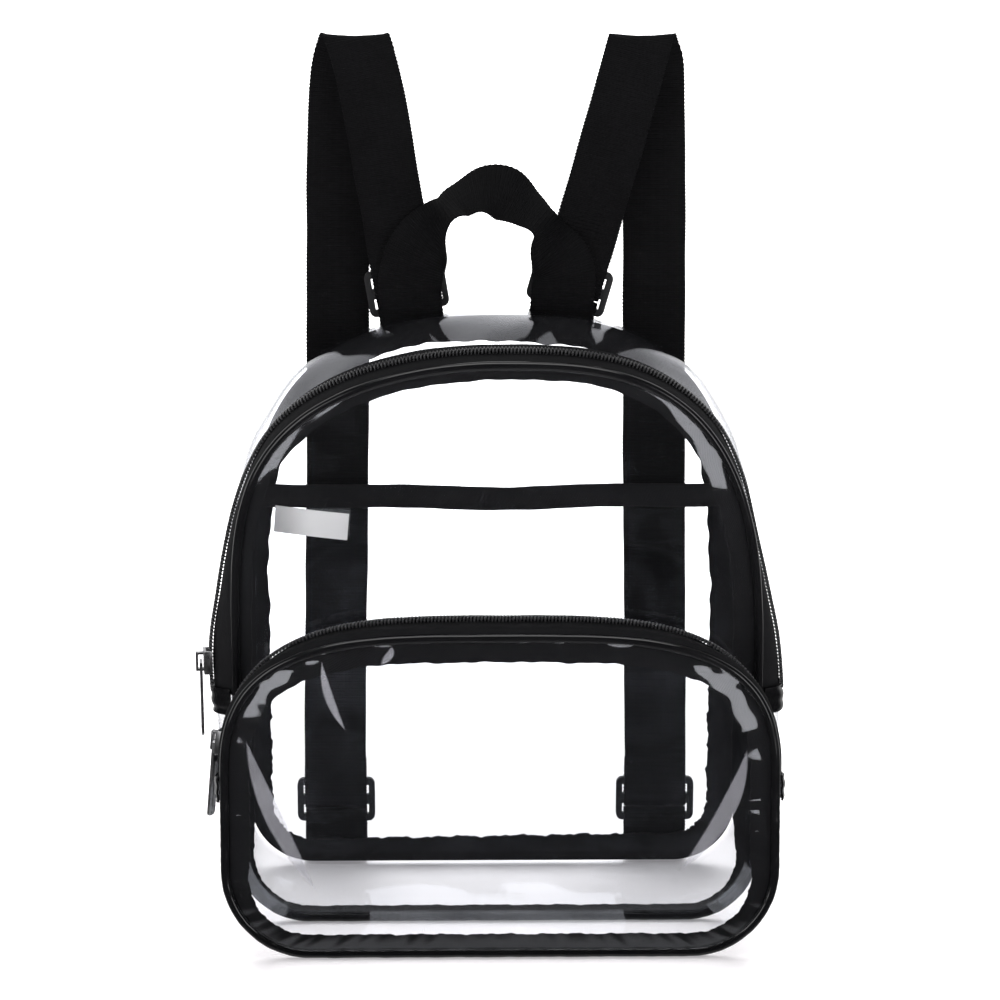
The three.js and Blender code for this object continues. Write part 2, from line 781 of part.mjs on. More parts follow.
const COIL_TOP = TAPE / 2 + GAP + COIL_HEIGHT;
const PLATE_FOOT = COIL_TOP + SLIDER_PLAY;
const HINGE_UP = PLATE_FOOT + SLIDER.plate + TUNNEL / 2;

// A zip slider: a plate with two flanges over the coil, and a bridge that holds the pull
function sliderBody() {
  const inside = COIL_WIDTH + 2 * SLIDER_PLAY;
  const width = inside + 2 * SLIDER.flange;
  const plateTop = PLATE_FOOT + SLIDER.plate;
  const flangeFoot = TAPE / 2 + GAP;
  const flangeHeight = plateTop - flangeFoot;
  let body = solidOf(
    box(width, SLIDER.length, SLIDER.plate, 0, 0, PLATE_FOOT + SLIDER.plate / 2),
  );
  for (const side of [-1, 1]) {
    const x = (side * (inside + SLIDER.flange)) / 2;
    const flange = box(SLIDER.flange, SLIDER.length, flangeHeight, x, 0, flangeFoot + flangeHeight / 2);
    body = body.add(solidOf(flange));
  }
  const half = SLIDER.bridge / 2;
  const tall = TUNNEL + SLIDER.bridgeBar;
  const arch = new THREE.Shape();
  arch.moveTo(-half, -BRIDGE_ROOT);
  arch.lineTo(half, -BRIDGE_ROOT);
  arch.lineTo(half, tall - BRIDGE_CHAMFER);
  arch.lineTo(half - BRIDGE_CHAMFER, tall);
  arch.lineTo(-half + BRIDGE_CHAMFER, tall);
  arch.lineTo(-half, tall - BRIDGE_CHAMFER);
  arch.closePath();
  const tunnel = new THREE.Path();
  const inner = half - SLIDER.bridgeBar;
  tunnel.moveTo(-inner, 0);
  tunnel.lineTo(-inner, TUNNEL);
  tunnel.lineTo(inner, TUNNEL);
  tunnel.lineTo(inner, 0);
  tunnel.closePath();
  arch.holes.push(tunnel);
  const bridge = new THREE.ExtrudeGeometry(arch, { depth: SLIDER.bridgeWidth, bevelEnabled: false });
  bridge.translate(0, 0, -SLIDER.bridgeWidth / 2);
  bridge.rotateX(Math.PI / 2);
  bridge.rotateZ(Math.PI / 2);
  bridge.translate(0, 0, plateTop);
  return geometryOf(body.add(solidOf(bridge)));
}

// The pull: a flat tongue with an eye round the bridge and a long slot. Its hinge is its origin.
function pullTab() {
  const { length, width, thickness, eye, eyeWidth, slotWidth } = PULL;
  const bar = thickness;
  const outline = new THREE.Shape();
  const half = width / 2;
  outline.moveTo(-half, -bar / 2);
  outline.lineTo(half, -bar / 2);
  outline.lineTo(half, length - half);
  outline.absarc(0, length - half, half, 0, Math.PI, false);
  outline.closePath();
  const eyeHole = new THREE.Path();
  eyeHole.moveTo(-eyeWidth / 2, bar / 2);
  eyeHole.lineTo(-eyeWidth / 2, bar / 2 + eye);
  eyeHole.lineTo(eyeWidth / 2, bar / 2 + eye);
  eyeHole.lineTo(eyeWidth / 2, bar / 2);
  eyeHole.closePath();
  const slotFrom = bar / 2 + eye + half;
  const slot = new THREE.Path();
  slot.absarc(0, slotFrom, slotWidth / 2, Math.PI, 0, false);
  slot.absarc(0, length - half, slotWidth / 2, 0, Math.PI, false);
  slot.closePath();
  outline.holes.push(eyeHole, slot);
  const tab = new THREE.ExtrudeGeometry(outline, {
    depth: thickness,
    bevelEnabled: false,
    curveSegments: 6,
  });
  return tab.translate(0, 0, -thickness / 2);
}

// Materials
const clearVinyl = new THREE.MeshStandardMaterial({
  color: 0xf2f4f8,
  roughness: 0.08,
  metalness: 0,
  transparent: true,
  opacity: 0.25,
});
const matt = (color, roughness) => new THREE.MeshStandardMaterial({ color, roughness });
const blackCord = matt(0x0c0c0e, 0.3);
const blackTape = matt(0x121214, 0.85);
const blackCoil = matt(0x101012, 0.45);
const blackWebbing = matt(0x0e0e10, 0.9);
const blackPlastic = matt(0x0a0a0b, 0.4);
const whiteSatin = matt(0xf4f3f1, 0.5);
const blackMetal = new THREE.MeshStandardMaterial({ color: 0x2a2b2e, roughness: 0.3, metalness: 0.9 });

const backpack = new THREE.Group();

function add(name, geometry, material, parent = backpack) {
  const mesh = new THREE.Mesh(geometry, material);
  mesh.name = name;
  parent.add(mesh);
  return mesh;
}

// The main bag's two walls, their seams and the tape that finishes them
function addMainBag() {
  const seat = CORD_RADIUS + GAP;
  add(
    "main_front",
    panelSheet(FRONT, seat, (x, z) => frontFaceY(x, z) + SHEET / 2),
    clearVinyl,
  );
  add("main_piping", pipingCord(FRONT, () => -MAIN_DEPTH), blackCord);
  const behindFront = () => -MAIN_DEPTH + SHEET / 2 + GAP;
  add(
    "main_seam_tape",
    seamBand(FRONT, { inset: seat, width: MAIN_TAPE_WIDTH, front: behindFront, thickness: TAPE }),
    blackTape,
  );
  add(
    "back_panel",
    panelSheet(BACK, SHEET / 2 + GAP, (x, z) => crown(BACK, BACK_CROWN, x, z)),
    clearVinyl,
  );
  add(
    "back_binding",
    seamBand(BACK, {
      inset: SHEET + GAP,
      width: BINDING_WIDTH,
      front: () => -SHEET / 2 - GAP - BINDING_THICKNESS,
      thickness: BINDING_THICKNESS,
    }),
    blackTape,
  );
}

// A zip in a side wall: two tapes, the closed coil on them and the clear wall below its ends
const ARCH = { from: SPRINGING, to: FULL_ROUND - SPRINGING };
const TO_REAR = -1e-6;

// The closed coil stands on the two tapes, straight across, with rounded shoulders
function coilStrip(wall, middle) {
  const foot = TAPE / 2 + GAP;
  const half = COIL_WIDTH / 2;
  const shoulder = half * COIL_SHOULDER;
  const profile = [
    [-half, foot + COIL_HEIGHT * 0.5],
    [-shoulder, foot + COIL_HEIGHT],
    [shoulder, foot + COIL_HEIGHT],
    [half, foot + COIL_HEIGHT * 0.5],
    [half, foot],
    [shoulder, foot],
    [-shoulder, foot],
    [-half, foot],
  ];
  const sections = stations(ARCH.from, ARCH.to).map((station) => {
    const { centre, sideways, normal } = zipFrame(wall, station, middle);
    return profile.map(([across, up]) =>
      centre.clone().addScaledVector(sideways, across).addScaledVector(normal, up),
    );
  });
  return loft(sections);
}

// The middle of a zip at a station: its place, the way it runs, the way across it and its outside
function zipFrame(wall, station, middle) {
  const [share] = sharesAt(wall, station, [middle]);
  const centre = wallPoint(wall, station, share);
  const normal = wallNormal(wall, station, share);
  const step = SHARE_STEP;
  const run = wallPoint(wall, station + step, share).sub(wallPoint(wall, station - step, share));
  run.addScaledVector(normal, -run.dot(normal)).normalize();
  return { centre, run, sideways: run.clone().cross(normal), normal };
}

function addZip(prefix, wall, seat, rearTapeFar) {
  const tape = { ...ARCH, ...lowAndHigh(TAPE) };
  const middle = seat + HALF_TAPE;
  const tapes = {
    front: { near: seat, far: middle - GAP / 2 },
    rear: { near: middle + GAP / 2, far: rearTapeFar },
  };
  for (const [place, reach] of Object.entries(tapes)) {
    add(`${prefix}_zip_tape_${place}`, strip(wall, { ...tape, ...reach, across: 2 }), blackTape);
  }
  add(`${prefix}_zip_coil`, coilStrip(wall, middle), blackCoil);
}

// Share of a straight side's stretch that the gap under a zip takes
const split = (panel) => GAP / (panel.springing - panel.base - panel.corner);

function addTabs(prefix, wall, near, far) {
  const panel = wall.front;
  const foot = SPRINGING - TAB_LENGTH / (panel.springing - panel.base - panel.corner);
  const low = SHEET / 2 + GAP;
  const tab = { low, high: low + SHEET, near, far, across: 2 };
  const end = SPRINGING - split(panel);
  const sides = { right: [foot, end], left: [FULL_ROUND - end, FULL_ROUND - foot] };
  for (const [side, [from, to]] of Object.entries(sides)) {
    add(`${prefix}_zip_tab_${side}`, strip(wall, { ...tab, from, to }), blackCord);
  }
}

function addWalls() {
  const seat = CORD_RADIUS + GAP;
  const tapeEnd = seat + 2 * HALF_TAPE;
  const sheet = lowAndHigh(SHEET);
  addZip("main", MAIN_WALL, seat, tapeEnd);
  addZip("pocket", POCKET_WALL, seat, TO_REAR);
  add(
    "main_gusset_top",
    strip(MAIN_WALL, {
      ...ARCH,
      ...sheet,
      near: tapeEnd + GAP,
      far: TO_REAR,
      across: 3,
    }),
    clearVinyl,
  );
  for (const [name, wall, across] of [
    ["main_gusset_base", MAIN_WALL, 5],
    ["pocket_gusset", POCKET_WALL, 3],
  ]) {
    const end = SPRINGING - split(wall.front);
    const range = { from: -end, to: end, near: seat, far: TO_REAR, across };
    add(name, strip(wall, { ...range, ...sheet }), clearVinyl);
  }
  addTabs("main", MAIN_WALL, seat, tapeEnd);
  addTabs("pocket", POCKET_WALL, seat, tapeEnd - 2 * GAP);
}

function addPocket() {
  const seat = CORD_RADIUS + GAP;
  add(
    "pocket_front",
    panelSheet(POCKET, seat, (x, z) => pocketSeamY(z) - crown(POCKET, POCKET_CROWN, x, z)),
    clearVinyl,
  );
  add("pocket_piping", pipingCord(POCKET, pocketSeamY), blackCord);
  add(
    "pocket_seam_tape",
    seamBand(POCKET, {
      inset: seat,
      width: POCKET_TAPE_WIDTH,
      front: (x, z) => pocketSeamY(z) + SHEET / 2 + GAP,
      thickness: TAPE,
    }),
    blackTape,
  );
}

// The slip pocket with its hem, and the sewn-in label below the hem
function addBackLining() {
  const foot = BACK.base + SHEET / 2 + BINDING_WIDTH / 2;
  add("slip_pocket", slipSheet(foot, HEM_FOOT - GAP, SHEET, 12), clearVinyl);
  add("slip_pocket_hem", slipSheet(HEM_FOOT, HEM_FOOT + HEM_HEIGHT, HEM_THICKNESS, 2), blackTape);
  const label = box(LABEL.length, LABEL.thickness, LABEL.height, LABEL.length / 2, 0, 0);
  label.rotateY(rad(LABEL.droop));
  label.rotateZ(-rad(LABEL.forward));
  label.translate(LABEL.out, slipSeatY - HEM_THICKNESS / 2 - GAP - LABEL.thickness, LABEL.up);
  add("label", label, whiteSatin);
}

// The slider and its pull on a zip's left end
function addSlider(prefix, wall, above) {
  const seat = CORD_RADIUS + GAP;
  const side = wall.front.left;
  if (!side.table) domeTable(wall.front, side);
  const station = FULL_ROUND - SPRINGING - above / side.table.at(-1).run;
  const { centre, run, sideways, normal } = zipFrame(wall, station, seat + HALF_TAPE);
  const basis = new THREE.Matrix4().makeBasis(sideways, run, normal);
  const slider = add(`${prefix}_slider`, sliderBody(), blackMetal);
  slider.applyMatrix4(basis);
  slider.position.copy(centre);
  add(`${prefix}_pull`, pullTab(), blackMetal, slider).position.z = HINGE_UP;
}

function addCarrying() {
  add("handle", webbing(handleRoute(), HANDLE_SECTIONS), blackWebbing);
  for (const [name, side] of [
    ["left", -1],
    ["right", 1],
  ]) {
    const upper = upperFrame(side);
    const lower = lowerFrame(side);
    add(`strap_${name}`, webbing(strapRoute(side), STRAP_SECTIONS), blackWebbing);
    const seamUp = seamHeight(upper.centre.x) - SEWN;
    add(`upper_anchor_${name}`, webbing(anchorRoute(upper, seamUp), ANCHOR_SECTIONS), blackWebbing);
    add(`lower_anchor_${name}`, webbing(anchorRoute(lower, 2 * GAP), ANCHOR_SECTIONS), blackWebbing);
    for (const [place, frame] of [
      ["upper", upper],
      ["lower", lower],
    ]) {
      const glide = add(`${place}_glide_${name}`, triGlide(), blackPlastic);
      const through = frame.edge.clone().cross(frame.along);
      glide.applyMatrix4(new THREE.Matrix4().makeBasis(frame.edge, frame.along, through));
      glide.position.copy(frame.centre);
    }
  }
}

addMainBag();
addWalls();
addPocket();
addBackLining();
addSlider("main", MAIN_WALL, MAIN_SLIDER_ABOVE_END);
addSlider("pocket", POCKET_WALL, POCKET_SLIDER_ABOVE_END);
addCarrying();

// Stand the bag on its own frame: the middle of its bounding box over the origin
backpack.updateMatrixWorld(true);
const bounds = new THREE.Box3().setFromObject(backpack, true);
const middle = bounds.getCenter(new THREE.Vector3());
backpack.position.set(-middle.x, -middle.y, -bounds.min.z);

export default backpack;
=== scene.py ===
# %% [markdown]
# This notebook dresses a small clear backpack with black trim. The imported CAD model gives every
# place and size. Each sheet, tape, cord, strap and fitting is built again with the relief and the
# finish of the real one, and rides on the body that the CAD model says.

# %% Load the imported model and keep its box
import math

import bpy
import numpy as np
from mathutils import Matrix, Vector


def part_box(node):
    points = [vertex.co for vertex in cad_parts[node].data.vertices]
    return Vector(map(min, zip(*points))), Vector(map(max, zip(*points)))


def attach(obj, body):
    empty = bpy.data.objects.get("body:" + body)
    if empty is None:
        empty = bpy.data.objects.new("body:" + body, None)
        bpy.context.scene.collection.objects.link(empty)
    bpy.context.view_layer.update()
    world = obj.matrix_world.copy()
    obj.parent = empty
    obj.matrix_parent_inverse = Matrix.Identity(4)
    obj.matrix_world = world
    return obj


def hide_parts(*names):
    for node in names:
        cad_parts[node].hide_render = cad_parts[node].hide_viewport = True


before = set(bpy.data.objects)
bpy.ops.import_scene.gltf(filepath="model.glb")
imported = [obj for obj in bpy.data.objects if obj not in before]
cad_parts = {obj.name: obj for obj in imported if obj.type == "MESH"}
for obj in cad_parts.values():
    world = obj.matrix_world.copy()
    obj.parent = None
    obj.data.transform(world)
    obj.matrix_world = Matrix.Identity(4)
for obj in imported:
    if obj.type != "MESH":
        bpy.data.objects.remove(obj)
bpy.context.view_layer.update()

# %% [markdown]
# The bag's own measures are in millimetres, from its back panel at y = 0 and the floor at z = 0. The
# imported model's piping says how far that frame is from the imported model's own.

# %% The bag's frame
MM = 0.001
CORD_RADIUS = 2.2
MAIN_DEPTH = 78.0
FRONT_LEFT = 121.0
piping_low, piping_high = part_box("main_piping")
SHIFT = np.array(
    [
        piping_low.x + (FRONT_LEFT + CORD_RADIUS) * MM,
        (piping_low.y + piping_high.y) / 2 + MAIN_DEPTH * MM,
        piping_low.z,
    ]
)
print("the bag's frame is shifted by", np.round(SHIFT, 5))

# %% [markdown]
# The camera stands where the photographer stood: a little above the bag, slightly to its left, with
# a long lens. It could be placed by eye, but the outline was fitted to the photograph with one
# target point, one distance and two angles, so those are written down.

# %% Camera
CAMERA_TARGET = Vector(SHIFT) + Vector((0, -0.040, 0.193))
CAMERA_DISTANCE = 1.15
CAMERA_ELEVATION = math.radians(12)
CAMERA_AZIMUTH = math.radians(-0.7)
CAMERA_LENS = 88.7


def add_camera():
    level = CAMERA_DISTANCE * math.cos(CAMERA_ELEVATION)
    back = Vector(
        (
            level * math.sin(CAMERA_AZIMUTH),
            -level * math.cos(CAMERA_AZIMUTH),
            CAMERA_DISTANCE * math.sin(CAMERA_ELEVATION),
        )
    )
    camera = bpy.data.objects.new("camera", bpy.data.cameras.new("camera"))
    camera.data.lens = CAMERA_LENS
    camera.data.clip_end = 50
    camera.location = CAMERA_TARGET + back
    camera.rotation_euler = (-back).to_track_quat("-Z", "Y").to_euler()
    bpy.context.scene.collection.objects.link(camera)
    bpy.context.scene.camera = camera
    return camera


print("camera at", [round(c, 4) for c in add_camera().location])

# %% [markdown]
# The studio is white: a white floor and a white world behind the bag. Clear vinyl shows only by what
# it reflects, so the side that faces the camera is dim, with soft boxes at the left, the right and
# above. Lamps would do, but area lamps also show in the sheets as the soft boxes did.

# %% Studio


def soft_box(name, place, aim, width, height, power):
    data = bpy.data.lights.new(name, "AREA")
    data.shape = "RECTANGLE"
    data.size = width
    data.size_y = height
    data.energy = power
    lamp = bpy.data.objects.new(name, data)
    lamp.location = place
    lamp.rotation_euler = (Vector(aim) - Vector(place)).to_track_quat("-Z", "Y").to_euler()
    lamp.visible_camera = False
    bpy.context.scene.collection.objects.link(lamp)


def studio_world(ahead, behind, below, seen_white):
    """The world that sheets reflect: dim ahead of the bag, brighter behind it and below."""
    world = bpy.data.worlds.new("studio")
    world.use_nodes = True
    tree = world.node_tree
    tree.nodes.clear()

    def add(kind, **settings):
        made = tree.nodes.new(kind)
        for key, value in settings.items():
            setattr(made, key, value)
        return made

    def ramp(source, start, end, low, high):
        made = add("ShaderNodeMapRange", interpolation_type="SMOOTHSTEP")
        for key, value in zip(("From Min", "From Max", "To Min", "To Max"), (start, end, low, high)):
            made.inputs[key].default_value = value
        tree.links.new(source, made.inputs["Value"])
        return made.outputs["Result"]

    def brightest(first, second):
        made = add("ShaderNodeMath", operation="MAXIMUM")
        tree.links.new(first, made.inputs[0])
        tree.links.new(second, made.inputs[1])
        return made.outputs[0]

    way = add("ShaderNodeSeparateXYZ")
    tree.links.new(add("ShaderNodeTexCoord").outputs["Generated"], way.inputs[0])
    backdrop = ramp(way.outputs["Y"], 0.05, 0.6, ahead, behind)
    table = ramp(way.outputs["Z"], -0.5, -0.85, 0, below)
    seen = ramp(add("ShaderNodeLightPath").outputs["Is Camera Ray"], 0, 1, 0, seen_white)
    light = add("ShaderNodeBackground")
    light.inputs["Color"].default_value = (1, 1, 1, 1)
    tree.links.new(brightest(brightest(backdrop, table), seen), light.inputs["Strength"])
    tree.links.new(light.outputs[0], add("ShaderNodeOutputWorld").inputs[0])
    bpy.context.scene.world = world


def from_bag(azimuth, elevation, distance):
    """A place at a direction from the bag's middle. Azimuth 0 is the camera's side."""
    a, e = math.radians(azimuth), math.radians(elevation)
    level = distance * math.cos(e)
    return (level * math.sin(a), -level * math.cos(a), 0.15 + distance * math.sin(e))


studio_world(ahead=0.025, behind=0.8, below=0.5, seen_white=1.5)
soft_box("box_right", from_bag(33, 14, 2.2), (0, 0, 0.15), 0.6, 1.2, 7)
soft_box("box_left", from_bag(-38, 22, 2.2), (0, 0, 0.15), 0.7, 1.3, 9)
soft_box("box_above", (0.0, -0.3, 2.0), (0, 0, 0), 1.4, 1.0, 12)
bpy.context.scene.view_settings.view_transform = "Standard"
bpy.context.scene.cycles.transparent_max_bounces = 40

# %% [markdown]
# Finishes are node trees. Written as node calls they are long, so a small class wraps a socket and
# lets shader maths be written as Python sums, and one method adds any other node.

# %% Shader maths


class Amount:
    """A socket that carries a number or a colour. Sums on it add Math nodes."""

    def __init__(self, finish, socket):
        self.finish = finish
        self.socket = socket

    def _math(self, operation, first, second=None):
        inputs = {0: first} if second is None else {0: first, 1: second}
        return self.finish.node("ShaderNodeMath", {"operation": operation}, inputs)

    def __add__(self, other):
        return self._math("ADD", self, other)

    def __radd__(self, other):
        return self._math("ADD", other, self)

    def __sub__(self, other):
        return self._math("SUBTRACT", self, other)

    def __rsub__(self, other):
        return self._math("SUBTRACT", other, self)

    def __mul__(self, other):
        return self._math("MULTIPLY", self, other)

    def __rmul__(self, other):
        return self._math("MULTIPLY", other, self)

    def __pow__(self, other):
        return self._math("POWER", self, other)

    def size(self):
        return self._math("ABSOLUTE", self)

    def clamped(self):
        return self.finish.node("ShaderNodeMath", {"use_clamp": True}, {0: self, 1: 0.0})

    def wave(self, pitch):
        """A wave from 0 to 1 that repeats every pitch."""
        return self._math("SINE", self * (2 * math.pi / pitch)) * 0.5 + 0.5


class Finish:
    """A material's node tree."""

    def __init__(self, name):
        self.material = bpy.data.materials.new(name)
        self.material.use_nodes = True
        self.tree = self.material.node_tree
        self.tree.nodes.clear()

    def node(self, kind, settings=None, inputs=None, output=0):
        made = self.tree.nodes.new(kind)
        for key, value in (settings or {}).items():
            setattr(made, key, value)
        for key, value in (inputs or {}).items():
            if isinstance(value, Amount):
                self.tree.links.new(value.socket, made.inputs[key])
            else:
                made.inputs[key].default_value = value
        return Amount(self, made.outputs[output]) if made.outputs else None

    def place(self):
        return self.node("ShaderNodeTexCoord", output="Object")

    def cloth_place(self):
        """The piece's own UV map, which is in metres: U across the cloth and V along it."""
        uv = self.node("ShaderNodeTexCoord", output="UV")
        across = self.node("ShaderNodeSeparateXYZ", inputs={0: uv}, output="X")
        along = self.node("ShaderNodeSeparateXYZ", inputs={0: uv}, output="Y")
        return across, along

    def noise(self, scale, detail=2.0, vector=None):
        inputs = {"Scale": scale, "Detail": detail, "Vector": vector or self.place()}
        return self.node("ShaderNodeTexNoise", inputs=inputs, output="Fac")

    def between(self, amount, low, high):
        colours = {"Factor": amount, "A": (*low, 1), "B": (*high, 1)}
        made = self.tree.nodes.new("ShaderNodeMix")
        made.data_type = "RGBA"
        for key, value in colours.items():
            socket = next(s for s in made.inputs if s.name == key and s.enabled)
            if isinstance(value, Amount):
                self.tree.links.new(value.socket, socket)
            else:
                socket.default_value = value
        return Amount(self, next(s for s in made.outputs if s.enabled))

    def bump(self, height, depth, strength=1.0):
        inputs = {"Height": height, "Distance": depth, "Strength": strength}
        return self.node("ShaderNodeBump", inputs=inputs)

    def surface(self, **inputs):
        return self.node("ShaderNodeBsdfPrincipled", inputs=inputs)

    def done(self, surface):
        self.node("ShaderNodeOutputMaterial", inputs={"Surface": surface})
        return self.material

    def painted(self, **inputs):
        return self.done(self.surface(**inputs))


# %% [markdown]
# Clear vinyl lets light straight through, apart from the part that its two faces reflect. A glass
# shader would bend the light and cost many samples. A thin sheet hardly bends it, so transparency is
# mixed with a mirror by the angle of view, with very shallow ripples, as soft vinyl has. The pocket's
# sheet also has painted reflections: pale crescents near its lower corners and its top edge, a matte
# grey mixed in where the vinyl curves and creases.

# %% Clear vinyl


def painted_reflection_mark(x, z, reflection_crescent):
    """A pale crescent of painted reflection on an arc round a centre, in mm. side is 1 right of the centre
    and -1 left of it.
    """
    (centre_x, centre_z), radius, side, half_width, (low, high), strength = reflection_crescent
    off_x, off_z = x - centre_x, z - centre_z
    away = (off_x * off_x + off_z * off_z) ** 0.5 - radius
    height = (z - (low + high) / 2) * (2 / (high - low))
    half = half_width * (1 - height * height)
    return ((half - away.size()) * 1.2 + 0.5).clamped() * (off_x * side).clamped() * strength


FACE_ON = 0.045


def clear_vinyl(name, reflection_crescents=()):
    finish = Finish(name)
    facing = finish.node("ShaderNodeLayerWeight", inputs={"Blend": 0.5}, output="Facing")
    mirror = FACE_ON + (1 - FACE_ON) * facing**5
    gloss = finish.surface(
        **{
            "Base Color": (0.93, 0.94, 1.0, 1),
            "Metallic": 1.0,
            "Roughness": 0.06,
            "Normal": finish.bump(finish.noise(38.0, 0.0), 0.0012),
        }
    )
    clear = finish.node("ShaderNodeBsdfTransparent", inputs={"Color": (0.985, 0.988, 0.992, 1)})
    sheet = finish.node("ShaderNodeMixShader", inputs={0: mirror, 1: clear, 2: gloss})
    if reflection_crescents:
        place = finish.place()
        x = (finish.node("ShaderNodeSeparateXYZ", inputs={0: place}, output="X") - SHIFT[0]) * 1000
        z = (finish.node("ShaderNodeSeparateXYZ", inputs={0: place}, output="Z") - SHIFT[2]) * 1000
        reflection_mask = sum((painted_reflection_mark(x, z, reflection_crescent) for reflection_crescent in reflection_crescents[1:]), painted_reflection_mark(x, z, reflection_crescents[0]))
        reflection_mask = reflection_mask * (finish.noise(60.0) * 0.8 + 0.6)
        # Painted reflection: a matte pale grey mixed in along the crescents stands in for light that the
        # sheet reflects.
        painted_reflection_surface = finish.surface(**{"Base Color": (0.42, 0.42, 0.46, 1), "Roughness": 0.4})
        sheet = finish.node("ShaderNodeMixShader", inputs={0: reflection_mask.clamped(), 1: sheet, 2: painted_reflection_surface})
    return finish.done(sheet)


VINYL = clear_vinyl("clear_vinyl")
# Painted reflections on the pocket's sheet: centre, radius, side, half width, lowest and highest point, and
# strength
POCKET_PAINTED_REFLECTIONS = (
    ((86.8, 151.6), 207.0, -1, 3.8, (34, 99), 0.27),
    ((17.7, 111.4), 92.8, 1, 3.8, (42, 94), 0.27),
    ((-16.4, 140.6), 63.7, -1, 1.8, (106, 134), 0.4),
    ((-58.8, 142.2), 10.0, 1, 1.6, (134, 141), 0.4),
)
# The pocket's sheet is the clear vinyl with the painted reflections.
REFLECTION_PAINTED_VINYL = clear_vinyl("reflection_painted_vinyl", POCKET_PAINTED_REFLECTIONS)
print("finishes", VINYL.name, REFLECTION_PAINTED_VINYL.name)

# %% [markdown]
# The piping is black vinyl over a cord, glossy and finely grained, and its highlights run along it.
# The tabs at the ends of the zips are the same vinyl.

# %% Black vinyl


def black_vinyl():
    finish = Finish("black_vinyl")
    grain = finish.noise(1900.0, 3.0) + finish.noise(260.0, 2.0) * 0.9
    wear = finish.noise(45.0, 3.0)
    return finish.painted(
        **{
            "Base Color": finish.between(wear, (0.003, 0.003, 0.0035), (0.007, 0.007, 0.008)),
            "Roughness": 0.1 + wear * 0.12,
            "Normal": finish.bump(grain, 0.00003, 0.5),
            "Specular IOR Level": 0.5,
        }
    )


BLACK_VINYL = black_vinyl()
print("finish", BLACK_VINYL.name)

# %% [markdown]
# Tapes and webbing are woven from black yarn. The webbing's heavy ribs are in its mesh. What is left
# for the finish is the fine yarn: a twill on the tapes, and warp yarns between the webbing's ribs.

# %% Woven tape


def woven(name, yarn, twill, warp_share, depth, dark, light, rough, gloss):
    finish = Finish(name)
    across, along = finish.cloth_place()
    warp = (across + along * twill).wave(yarn)
    weft = along.wave(yarn * 0.8)
    fuzz = finish.noise(900.0, 3.0)
    height = warp * warp_share + weft * (1 - warp_share) + fuzz * 0.35
    patchy = finish.noise(55.0, 2.0)
    # Painted shade: the colour follows the weave's relief, darker in its low places, with a random patchy
    # tone over it.
    relief_shade_and_tone = height * 0.45 + patchy * 0.4
    return finish.painted(
        **{
            "Base Color": finish.between(relief_shade_and_tone, dark, light),
            "Roughness": rough - fuzz * 0.12,
            "Normal": finish.bump(height, depth, 0.8),
            "Specular IOR Level": gloss,
        }
    )


TAPE_CLOTH = woven(
    "black_tape", 0.0007, 0.5, 0.7, 0.00012, (0.003, 0.003, 0.0035), (0.011, 0.011, 0.013), 0.86, 0.2
)
WEBBING_CLOTH = woven(
    "black_webbing", 0.0011, 0.0, 0.25, 0.0002, (0.0008, 0.0008, 0.001), (0.006, 0.006, 0.007), 0.8, 0.1
)
print("finishes", TAPE_CLOTH.name, WEBBING_CLOTH.name)

# %% [markdown]
# The zip's coil is black nylon with a soft gloss. Its sliders are zinc with a dark nickel plate,
# brighter where hands wear them. The glides are moulded plastic with a fine mould texture, and the
# label is white satin ribbon, left bare.

# %% Coil, metal, moulded plastic and satin


def nylon():
    finish = Finish("nylon_coil")
    return finish.painted(
        **{
            "Base Color": finish.between(
                finish.noise(300.0), (0.03, 0.03, 0.032), (0.07, 0.07, 0.074)
            ),
            "Roughness": 0.22 + finish.noise(500.0) * 0.12,
            "Specular IOR Level": 0.5,
        }
    )


def dark_nickel():
    finish = Finish("dark_nickel")
    rub = finish.noise(420.0, 4.0)
    return finish.painted(
        **{
            "Base Color": finish.between(rub, (0.3, 0.3, 0.31), (0.8, 0.8, 0.82)),
            "Metallic": 1.0,
            "Roughness": 0.2 + rub * 0.22,
            "Normal": finish.bump(finish.noise(2400.0, 2.0), 0.00003, 0.5),
        }
    )


def moulded_plastic():
    finish = Finish("moulded_plastic")
    grain = finish.noise(1600.0, 2.0)
    return finish.painted(
        **{
            "Base Color": finish.between(
                finish.noise(80.0), (0.009, 0.009, 0.01), (0.02, 0.02, 0.022)
            ),
            "Roughness": 0.3 + grain * 0.18,
            "Normal": finish.bump(grain, 0.00004, 0.5),
            "Specular IOR Level": 0.5,
        }
    )


def satin():
    finish = Finish("label_satin")
    across, along = finish.cloth_place()
    height = across.wave(0.0003) * 0.6 + along.wave(0.00045) * 0.4
    from_seam = {"Value": along, "From Min": 0.0, "From Max": 0.022}
    clear_of_shade = finish.node("ShaderNodeMapRange", {"interpolation_type": "SMOOTHSTEP"}, from_seam)
    # Painted shade: the label is greyer for 22 mm from its sewn end and whiter towards its free end, with a
    # random patchy tone over it.
    seam_shade_and_tone = clear_of_shade * 0.8 + finish.noise(90.0, 3.0) * 0.3
    return finish.painted(
        **{
            "Base Color": finish.between(seam_shade_and_tone, (0.28, 0.28, 0.29), (0.82, 0.82, 0.82)),
            "Roughness": 0.42 + height * 0.15,
            "Normal": finish.bump(height, 0.00004, 0.5),
            "Sheen Weight": 0.2,
        }
    )


NYLON = nylon()
NICKEL = dark_nickel()
PLASTIC = moulded_plastic()
SATIN = satin()
print("finishes", NYLON.name, NICKEL.name, PLASTIC.name, SATIN.name)

# %% [markdown]
# The floor is plain white paper. It is bright enough to merge with the world behind it, so only the
# soft shadow under the bag shows where it is.

# %% Floor


